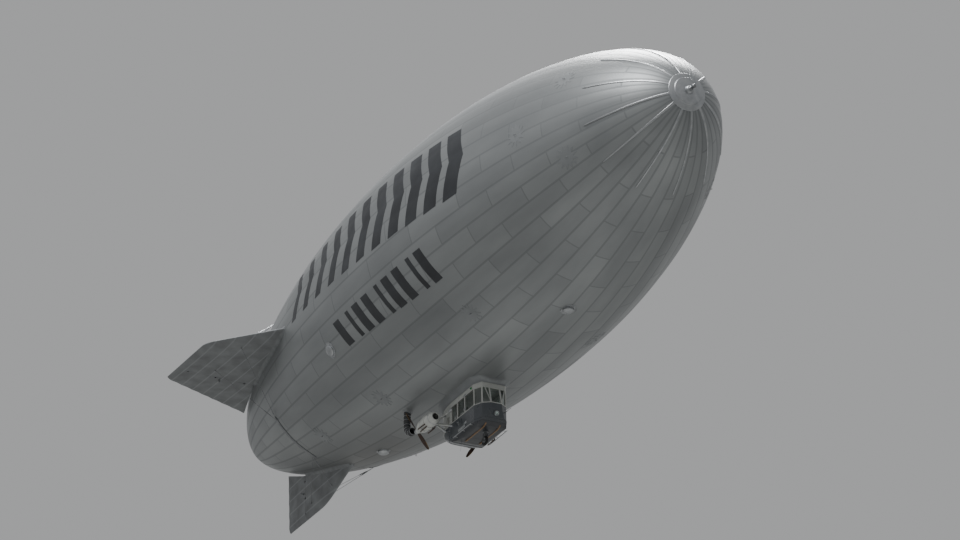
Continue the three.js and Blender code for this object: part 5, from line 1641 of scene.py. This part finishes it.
# %% [markdown]
# ### Propellers
# A wooden blade is carved from glued laminations. Its section is an aerofoil that gets thinner and flatter
# to the tip, so the blade is that section carried along the blade with its width, thickness and twist as
# smooth functions of the distance from the hub. A brass sheath protects the outer leading edge.

# %% Propeller blades and spinners
# distance from the hub, width, twist in degrees and thickness
BLADE_TABLE = np.array([
    [0.03, 0.080, 58, 0.066], [0.10, 0.100, 50, 0.058], [0.20, 0.140, 42, 0.038],
    [0.33, 0.160, 34, 0.029], [0.47, 0.166, 28, 0.023], [0.62, 0.152, 23.5, 0.018],
    [0.74, 0.128, 20, 0.014], [0.83, 0.102, 18.4, 0.011], [0.875, 0.076, 17.4, 0.009],
    [0.895, 0.045, 17, 0.007], [0.90, 0.014, 17, 0.004],
])
SHEATH_START, SHEATH_SHARE, SHEATH_THICK = 0.52, 0.20, 0.0012
blade_wood = finish("laminated_varnished_mahogany", "dark_enamel", "#4a3328", "#35241c", 0.3, 70, 6, 0.1,
                    Coat_Weight=0.5, Coat_Roughness=0.1)
brass = finish("tipped_brass_sheath", "bare_metal", "#a58c5c", "#8d764b", 0.34, 60, 6, 0.1, Metallic=0.95)


def blade(sheath=False):
    """Aerofoil loops carried along z, at the table's width, twist and thickness. u goes round the section,
    whose half thickness follows sqrt(s) (1 - s) on top and 0.55 of that below. The sheath is the outer
    blade's front fifth, a little thicker all round."""
    r = smooth_line(BLADE_TABLE[:, :1], 4)[:, 0]
    width, twist, thick = (np.interp(r, BLADE_TABLE[:, 0], BLADE_TABLE[:, k])[:, None] for k in (1, 2, 3))
    u = full_turn(26)[None]
    s = (1 - np.cos(u)) / 2
    form = 1.9 * np.sqrt(s) * (1 - s) + 0.04 * (1 - (2 * s - 1) ** 2)
    v = np.where(u < np.pi, 0.62, -0.34) * form * thick * 1.3
    c = (s - 0.5) * width
    if sheath:
        r, width, twist, v, c = (k[r > SHEATH_START] for k in (r, width, twist, v, c))
        front = s + 0 * v < SHEATH_SHARE
        v = np.where(front, v + np.sign(v) * SHEATH_THICK, v * 0.9)
        c = np.where(front, c - 0.0015, (SHEATH_SHARE - 0.5) * width)
    a = np.radians(twist)
    points = np.stack([c * np.cos(a) - v * np.sin(a), c * np.sin(a) + v * np.cos(a), r[:, None] + 0 * c], -1)
    return grid(points, wrap_columns=True, caps=True)


def about_hub(part, side, turn):
    """A part drawn at the origin, turned about the shaft and moved to its hub."""
    points, faces = part
    cos_t, sin_t = np.cos(turn), np.sin(turn)
    spin = np.array([[cos_t, 0, -sin_t], [0, 1, 0], [sin_t, 0, cos_t]])
    return points @ spin + np.array([side * ENGINE_X, HUB_Y, ENGINE_Z]), faces


HUB_FORM = [(0.0, -0.045), (0.098, -0.045), (0.104, -0.038), (0.108, -0.01), (0.108, 0.02)]
HUB_RADIUS, HUB_BACK, SPINNER_LENGTH, BLADE_START = 0.108, 0.02, 0.173, 35
q = np.linspace(0, 1, 14)[1:, None]
spinner = HUB_RADIUS * np.sqrt(np.clip(1 - q**1.9, 0, 1)), HUB_BACK + SPINNER_LENGTH * q
spinner = np.concatenate([HUB_FORM, np.column_stack(spinner)])
for name, side in SIDES.items():
    body = f"propeller_{name}"
    turns = [np.radians(side * BLADE_START) + k for k in (0, np.pi)]
    blades, sheaths = ([about_hub(blade(sheath), side, k) for k in turns] for sheath in (False, True))
    piece(f"propeller_blades_{name}", blades, blade_wood, body, replaces=body, crease=60)
    piece(f"blade_sheaths_{name}", sheaths, brass, body, crease=60)
    piece(f"spinner_{name}", about_hub(lathe(spinner, "y"), side, 0.0), duralumin, body)

# %% [markdown]
# ### Strut collars, bracing wires and air scoops
# The struts end in forged collars on the cabin and on the engine's ring, and thin wires cross between
# them. Behind each propeller a cloth scoop on wire hoops catches its wind and feeds the air bags inside
# the envelope that keep it tight.

# %% Collars and bracing
STRUT_FEET = [(1.5, -6.9), (1.5, -5.95), (2.35, -6.85), (2.35, -5.95)]
# distances along the strut, from the cabin's wall or the engine's ring, and the radius there
COLLAR = np.array([[-0.10, 0.054], [0.0, 0.054], [0.045, 0.054], [0.05, 0.047], [0.085, 0.047], [0.09, 0.041],
                   [0.12, 0.036]])
RING_END = np.array([[-0.13, 0.036], [-0.10, 0.041], [-0.095, 0.046], [-0.04, 0.048], [0.0, 0.050]])


def strut_line(side, foot_y, foot_z):
    """The two ends of a strut's middle line, as in the frame."""
    end = [side * (ENGINE_X - COWL_RADIUS - 0.008), RING_Y + 0.02 * np.sign(foot_y - 2.0),
           ENGINE_Z + 0.04 * np.sign(foot_z - ENGINE_Z)]
    return np.array([side * 0.6, foot_y, foot_z]), np.array(end)


def collars(side, foot):
    """Tapered sleeves at a strut's two ends, over the cabin's wall and at the engine's ring: turned profiles
    along the strut."""
    a, b = strut_line(side, *foot)
    along = unit(b - a)
    wall = a + along * ((CABIN_HALF - abs(a[0])) / abs(along[0]))
    forms = (wall, COLLAR), (b, RING_END)
    return [tube(at + along * form[:, :1], form[:, 1], sides=24) for at, form in forms]


BRACE_SHARES, BRACE_RADIUS = (0.3, 0.94), 0.004


def wires(side):
    """Two crossed wires in the front and rear bays, each from one strut's foot to the other's end."""
    made = []
    for a, b in ((0, 1), (1, 0), (2, 3), (3, 2)):
        foot, _ = strut_line(side, *STRUT_FEET[a])
        _, end = strut_line(side, *STRUT_FEET[b])
        shares = np.linspace(*BRACE_SHARES, 3)[:, None]
        made.append(tube(foot + (end - foot) * shares, BRACE_RADIUS, sides=6))
    return made


for name, side in SIDES.items():
    piece(f"strut_collars_{name}", sum((collars(side, foot) for foot in STRUT_FEET), []), duralumin)
    piece(f"bracing_wires_{name}", wires(side), steel)

# %% Air scoops
SCOOP_RADIUS, SCOOP_WALL, SCOOP_SIDES = 0.150, 0.012, 40
HOOP_PITCH, HOOP_RADIUS, WAIST = 0.2, 0.009, 0.008
SLEEVE_RADIUS, SLEEVE_LIFT = np.array([[0.146], [0.17], [0.235]]), np.array([[-0.075], [-0.018], [0.004]])
duct_cloth = finish("doped_duct_cloth", "fin_fabric", "#4d4e50", "#3b3c3e", 0.62, 220, 16, 0.6)


def scoop_route(side):
    """The duct's middle line: back from behind the propeller, then up to the envelope."""
    x, y, z = side * ENGINE_X, HUB_Y + 0.4, ENGINE_Z
    knots = [(x, y, z + 0.18), (x, y + 0.22, z + 0.19), (x, y + 0.46, z + 0.40),
             (x - side * 0.02, y + 0.54, z + 0.80), (x - side * 0.06, y + 0.54, z + 1.36)]
    return smooth_line(knots, 12)


def scoop_duct(side):
    """The duct's skin sinks between hoops by a squared sine, and a second skin inside it gives the wall."""
    path = scoop_route(side)
    run = distance_run(path)
    outer = SCOOP_RADIUS - WAIST * np.sin(np.pi * run / HOOP_PITCH) ** 2
    duct = pipe(path, outer, outer - SCOOP_WALL, SCOOP_SIDES)
    rings = duct[0].reshape(-1, SCOOP_SIDES, 3)
    hoop_rows = np.searchsorted(run, np.arange(0, run[-1] - 0.05, HOOP_PITCH) + 1e-6)
    return duct, [tube(rings[k], HOOP_RADIUS, loop=True) for k in hoop_rows]


def scoop_sleeve(side):
    """The cloth that joins the duct's end to the envelope: three rings that widen towards it."""
    a = full_turn(48)
    end = scoop_route(side)[-1]
    x, y = end[0] + SLEEVE_RADIUS * np.cos(a), end[1] + SLEEVE_RADIUS * np.sin(a)
    foot = np.stack([x, y, SLEEVE_LIFT - np.sqrt(hull_radius(y) ** 2 - x**2)], -1)
    return shell(foot, foot + [0, 0, 0.02])


for name, side in SIDES.items():
    duct, hoops = scoop_duct(side)
    piece(f"scoop_duct_{name}", duct, duct_cloth, replaces=f"air_scoop_{name}")
    piece(f"scoop_hoops_{name}", hoops, duralumin)
    piece(f"scoop_sleeve_{name}", scoop_sleeve(side), patch_cloth)

# %% [markdown]
# ## The landing wheel
# One balloon tyre on a spun rim takes the craft's small weight on the ground, in a fork that swivels like
# a trolley's castor. Tyre and rim are turned profiles. The tyre's has three grooves, and the rim's a rolled
# edge on each side and a dished web.

# %% Tyre, rim and fork fittings
AXLE = (0.0, 0.23, -7.9485)
TYRE_RADIUS, TYRE_HALF, BEAD_RADIUS = 0.210, 0.062, 0.116
GROOVE_PLACE, GROOVE_WIDTH, GROOVE_DEPTH = 0.019, 0.003, 0.004
FORK_Y, WHEEL_BOLTS, BOLT_CIRCLE, LEG_CIRCLE = 0.15, 8, 0.075, 0.1


def tyre_profile():
    """Superellipse section: radius = middle + half height · sign(sin) |sin|^0.85, across = half width ·
    sign(cos) |cos|^0.8, drawn in at the bead, with grooves 4 mm deep cut into the tread."""
    a = full_turn(96)
    middle, half = (TYRE_RADIUS + BEAD_RADIUS) / 2, (TYRE_RADIUS - BEAD_RADIUS) / 2
    radius = middle + half * signed_power(np.sin(a), 0.85)
    across = TYRE_HALF * signed_power(np.cos(a), 0.8)
    across = across * np.where(radius < middle, 1 - 0.12 * ((middle - radius) / half) ** 2, 1)
    offsets = np.abs(across) - GROOVE_PLACE, across
    groove = sum(np.exp(-((offset / GROOVE_WIDTH) ** 2)) for offset in offsets)
    return np.column_stack([radius - GROOVE_DEPTH * groove * (radius > middle + 0.8 * half), across])


def bolt_ring(centre, radius, start=0.0):
    """Places evenly round a circle, as two coordinates."""
    a = full_turn(WHEEL_BOLTS) + start
    return centre[0] + radius * np.cos(a), centre[1] + radius * np.sin(a)


RIM_HALF = smooth_line([(0.019, -0.056), (0.040, -0.056), (0.044, -0.052), (0.046, -0.030), (0.060, -0.020),
                        (0.092, -0.020), (0.103, -0.034), (0.108, -0.050), (0.122, -0.0545), (0.1235, -0.051),
                        (0.116, -0.046), (0.113, -0.030), (0.112, -0.001)], 3)
rim_profile = np.concatenate([RIM_HALF, (RIM_HALF * [1, -1])[::-1]])
tyre, rim = (lathe(k, "x", AXLE, n, closed=True) for k, n in ((tyre_profile(), 96), (rim_profile, 72)))
piece("tyre_balloon", tyre, rubber, "landing_wheel", replaces="wheel_tyre", crease=50)
piece("rim_spun", rim, duralumin, "landing_wheel", replaces="wheel_rim", crease=45)
bolt_yz = np.column_stack(bolt_ring(AXLE[1:], BOLT_CIRCLE))
rim_bolts = [studs(on_side(side, 0.0195, bolt_yz), (side, 0, 0), 0.007, 0.006) for side in (1.0, -1.0)]
piece("rim_bolts", rim_bolts, steel, "landing_wheel")
AXLE_NUT = np.array([(0.0, 0.0965), (0.024, 0.0965), (0.024, 0.1085), (0.019, 0.1125), (0.0, 0.1125)])
fork_nuts = [lathe((AXLE_NUT * [1, side])[::side], "x", AXLE, 6) for side in (1, -1)]
piece("axle_nuts", fork_nuts, steel, "landing_fork")
crown_at = np.array([[side * 0.075, FORK_Y + y, -7.7165] for side in (1, -1) for y in (-0.045, 0.045)])
piece("crown_bolts", studs(crown_at, (0, 0, -1.0), 0.009, 0.006), steel, "landing_fork")
leg_at = np.column_stack([*bolt_ring((0, FORK_Y), LEG_CIRCLE, 0.2), np.full(WHEEL_BOLTS, -7.6235)])
piece("leg_bolts", studs(leg_at, (0, 0, -1.0), 0.009, 0.007), steel)

# %% [markdown]
# ## Inside the cabin
# Through the glass show two pilots' seats, a bench behind them and the instrument panel. A cushion is a
# crowned closed form: it stands highest in the middle, its sides pull in between the corners, and a welt is
# sewn along its edge. Here each is a superellipsoid worked out in one go, on a plain tubular frame, with
# a welt swept round its fullest line.

# %% Cushions
CUSHION_ROWS, CUSHION_COLUMNS = 36, 72
CROWN, SQUARE, SIDE_PULL, TUFT_DEPTH, TUFT_WIDTH = 0.12, 0.45, 0.025, 0.10, 0.16
RIM_POWER, WELT_RADIUS = 0.35, 0.005


def cushion(centre, size, lean):
    """Superellipsoid: each of x and y is half size · sign(cos) |cos|^square round the edge, times
    |cos b|^0.35 from middle to rim, and z is half height · sin b, with a crown added over the middle and a
    tuft sunk into it. The form then leans back about x, and its welt follows the fullest row."""
    b = np.linspace(-np.pi / 2, np.pi / 2, CUSHION_ROWS)[:, None]
    a = full_turn(CUSHION_COLUMNS)[None]
    half = np.asarray(size) / 2
    rim = np.abs(np.cos(b)) ** RIM_POWER * (1 - SIDE_PULL * np.cos(2 * a) ** 2)
    u, v = signed_power(np.cos(a), SQUARE) * rim, signed_power(np.sin(a), SQUARE) * rim
    upper = np.clip(np.sin(b), 0, 1)
    tuft = TUFT_DEPTH * np.exp(-((u / TUFT_WIDTH) ** 2) - (v / TUFT_WIDTH) ** 2) * upper
    rise = np.sin(b) + CROWN * upper * (1 - u**2) * (1 - v**2) - tuft
    x, y, z = u * half[0], v * half[1], rise * half[2]
    y, z = y * np.cos(lean) - z * np.sin(lean), y * np.sin(lean) + z * np.cos(lean)
    points = np.stack([x, y, z], -1) + np.asarray(centre)
    return grid(points, wrap_columns=True), tube(points[CUSHION_ROWS // 2], WELT_RADIUS, sides=6, loop=True)


SEAT_TOP, SEAT_TILT, BACK_TILT, FLOOR_Z = -7.0, np.radians(6), np.radians(74), -7.425
LEG_RADIUS, BAR_RADIUS, LEG_INSET = 0.012, 0.010, 0.05
# place behind the seat's front and height: the side frame, its rear leg and the cross bars
SIDE_FRAME = [(0.03, FLOOR_Z), (0.04, -7.14), (0.06, -7.12), (0.34, -7.10),
              (0.38, -7.08), (0.41, -7.02), (0.50, -6.64)]
REAR_LEG = [(0.34, -7.10), (0.37, -7.25), (0.39, FLOOR_Z)]
BARS = [(0.05, -7.13), (0.34, -7.10), (0.488, -6.69)]
SEATS = {"pilot_seat": (0.35, -0.02, 0.48), "copilot_seat": (-0.35, -0.02, 0.48),
         "rear_bench": (0.0, 1.23, 1.30)}
for name, (x, y, width) in SEATS.items():
    seat, seat_welt = cushion((x, y + 0.195, SEAT_TOP - 0.045), (width - 0.02, 0.37, 0.13), SEAT_TILT)
    back, back_welt = cushion((x, y + 0.425, SEAT_TOP + 0.20), (width - 0.03, 0.36, 0.085), BACK_TILT)
    for label, part, fill in (("cushion", seat, 0.75), ("back", back, 0.7)):
        stands_for = name if label == "cushion" else None
        made = piece(f"{name}_{label}", part, seat_leather, replaces=stands_for, crease=80)
    piece(f"{name}_welts", [seat_welt, back_welt], seal_rubber)
    sides = x - width / 2 + LEG_INSET, x + width / 2 - LEG_INSET
    legs = []
    for leg_x in sides:
        for run, steps in ((SIDE_FRAME, 5), (REAR_LEG, 1)):
            path = smooth_line([(leg_x, y + back, z) for back, z in run], steps)
            legs.append(tube(path, LEG_RADIUS, sides=10))
    legs += [tube([(leg_x, y + back, z) for leg_x in sides], BAR_RADIUS, sides=10) for back, z in BARS]
    piece(f"{name}_frame", legs, steel)

# %% Dials on the instrument panel
PANEL_FOOT, PANEL_TOP = np.array([0, -0.40, -7.429]), np.array([0, -0.33, -6.88])
panel_up = unit(PANEL_TOP - PANEL_FOOT)
panel_out = np.cross([1.0, 0, 0], panel_up)
NEEDLE_HALF, NEEDLE_THICK, FACE_THICK = 0.003, 0.0015, 0.004
dial_white = finish("printed_dial_card", "light_enamel", "#d8d8d0", "#cbcbc2", 0.5, 60, 5, 0.05)
# place across the panel, height up it, and radius of each dial
DIALS = [(-0.28, 0.46, 0.042), (-0.14, 0.47, 0.050), (0.0, 0.46, 0.042), (0.14, 0.47, 0.050),
         (0.28, 0.46, 0.042), (-0.21, 0.36, 0.034), (-0.07, 0.36, 0.034), (0.07, 0.36, 0.034),
         (0.21, 0.36, 0.034)]


def on_panel(part, x, up):
    """A part turned about z, laid on the panel's rear face so that z points at the pilots."""
    points, faces = part
    base = np.array([x, 0, 0]) + PANEL_FOOT + up * panel_up
    return points @ np.stack([np.array([1.0, 0, 0]), -panel_up, panel_out]) + base, faces


def dial_parts(x, up, radius):
    """A dial's bezel and face, turned about its middle, and its needle, a thin triangle over the face."""
    rim = radius + 0.006
    form = [(radius, 0.0), (rim, 0.0), (rim, 0.008), (radius, 0.010), (radius - 0.003, 0.006)]
    card = [(0, FACE_THICK), (radius - 0.001, FACE_THICK), (radius - 0.001, 0.0), (0, 0.0)]
    angle = 0.7 + 2.1 * x + 3 * up  # so that no two needles point the same way
    tip = radius * 0.8 * np.array([np.cos(angle), np.sin(angle)])
    side = NEEDLE_HALF * np.array([-np.sin(angle), np.cos(angle)])
    needle = prism([[*k, FACE_THICK + 0.0005] for k in (side, tip, -side)], (0, 0, NEEDLE_THICK))
    bezel, face = lathe(form, "z", sides=32, closed=True), lathe(card, "z", sides=32)
    return [on_panel(part, x, up) for part in (bezel, face, needle)]


bezels, faces, needles = (list(parts) for parts in zip(*(dial_parts(*dial) for dial in DIALS)))
piece("dial_bezels", bezels, duralumin)
piece("dial_faces", faces, dial_white)
piece("dial_needles", needles, dark_enamel)

# %% [markdown]
# ## Floor, world and lights
# The studio is a pale floor far below and an even pale sky. The film is lit from above and behind, which
# leaves the belly dark and puts a bright patch on top of the nose. One very large soft lamp stands where a
# mirror on the nose would show it to the camera.

# %% Studio
FLOOR_HALF, SKY_COLOUR, SKY_STRENGTH = 20000.0, "#e4e5e6", 0.5
floor_finish = finish("pale_studio_floor", None, "#e6e6e3", "#e1e1de", 0.8, 40000, 4000, 1)
corners = [(x * FLOOR_HALF, y * FLOOR_HALF, FLOOR_HEIGHT) for x, y in ((-1, -1), (1, -1), (1, 1), (-1, 1))]
floor_mesh = bpy.data.meshes.new("studio_floor")
floor_mesh.from_pydata(corners, [], [(0, 1, 2, 3)])
floor_mesh.materials.append(floor_finish)
studio_floor = bpy.data.objects.new("studio_floor", floor_mesh)
bpy.context.scene.collection.objects.link(studio_floor)

world = bpy.data.worlds.new("studio_sky")
bpy.context.scene.world = world
world.use_nodes = True
sky = world.node_tree.nodes["Background"]
sky.inputs["Color"].default_value = srgb(SKY_COLOUR)
sky.inputs["Strength"].default_value = SKY_STRENGTH

# direction from the craft, distance and width in metres, power in watts
LAMPS = {
    "flank_light": ((-0.52, -0.42, 0.74), 80.0, 44.0, 62000.0),
    "rim_light": ((0.34, 0.30, 0.89), 75.0, 30.0, 120000.0),
}


def soft_lamp(name, direction, distance, size, watts):
    """A square lamp that faces the craft's middle from a direction."""
    data = bpy.data.lights.new(name, "AREA")
    data.shape, data.size, data.energy = "SQUARE", size, watts
    lamp = bpy.data.objects.new(name, data)
    toward = Vector(direction).normalized()
    lamp.rotation_mode = "QUATERNION"
    lamp.rotation_quaternion = toward.to_track_quat("Z", "Y")
    lamp.location = toward * distance
    bpy.context.scene.collection.objects.link(lamp)
    return lamp


for name, lamp in LAMPS.items():
    print(soft_lamp(name, *lamp).name, "ready")
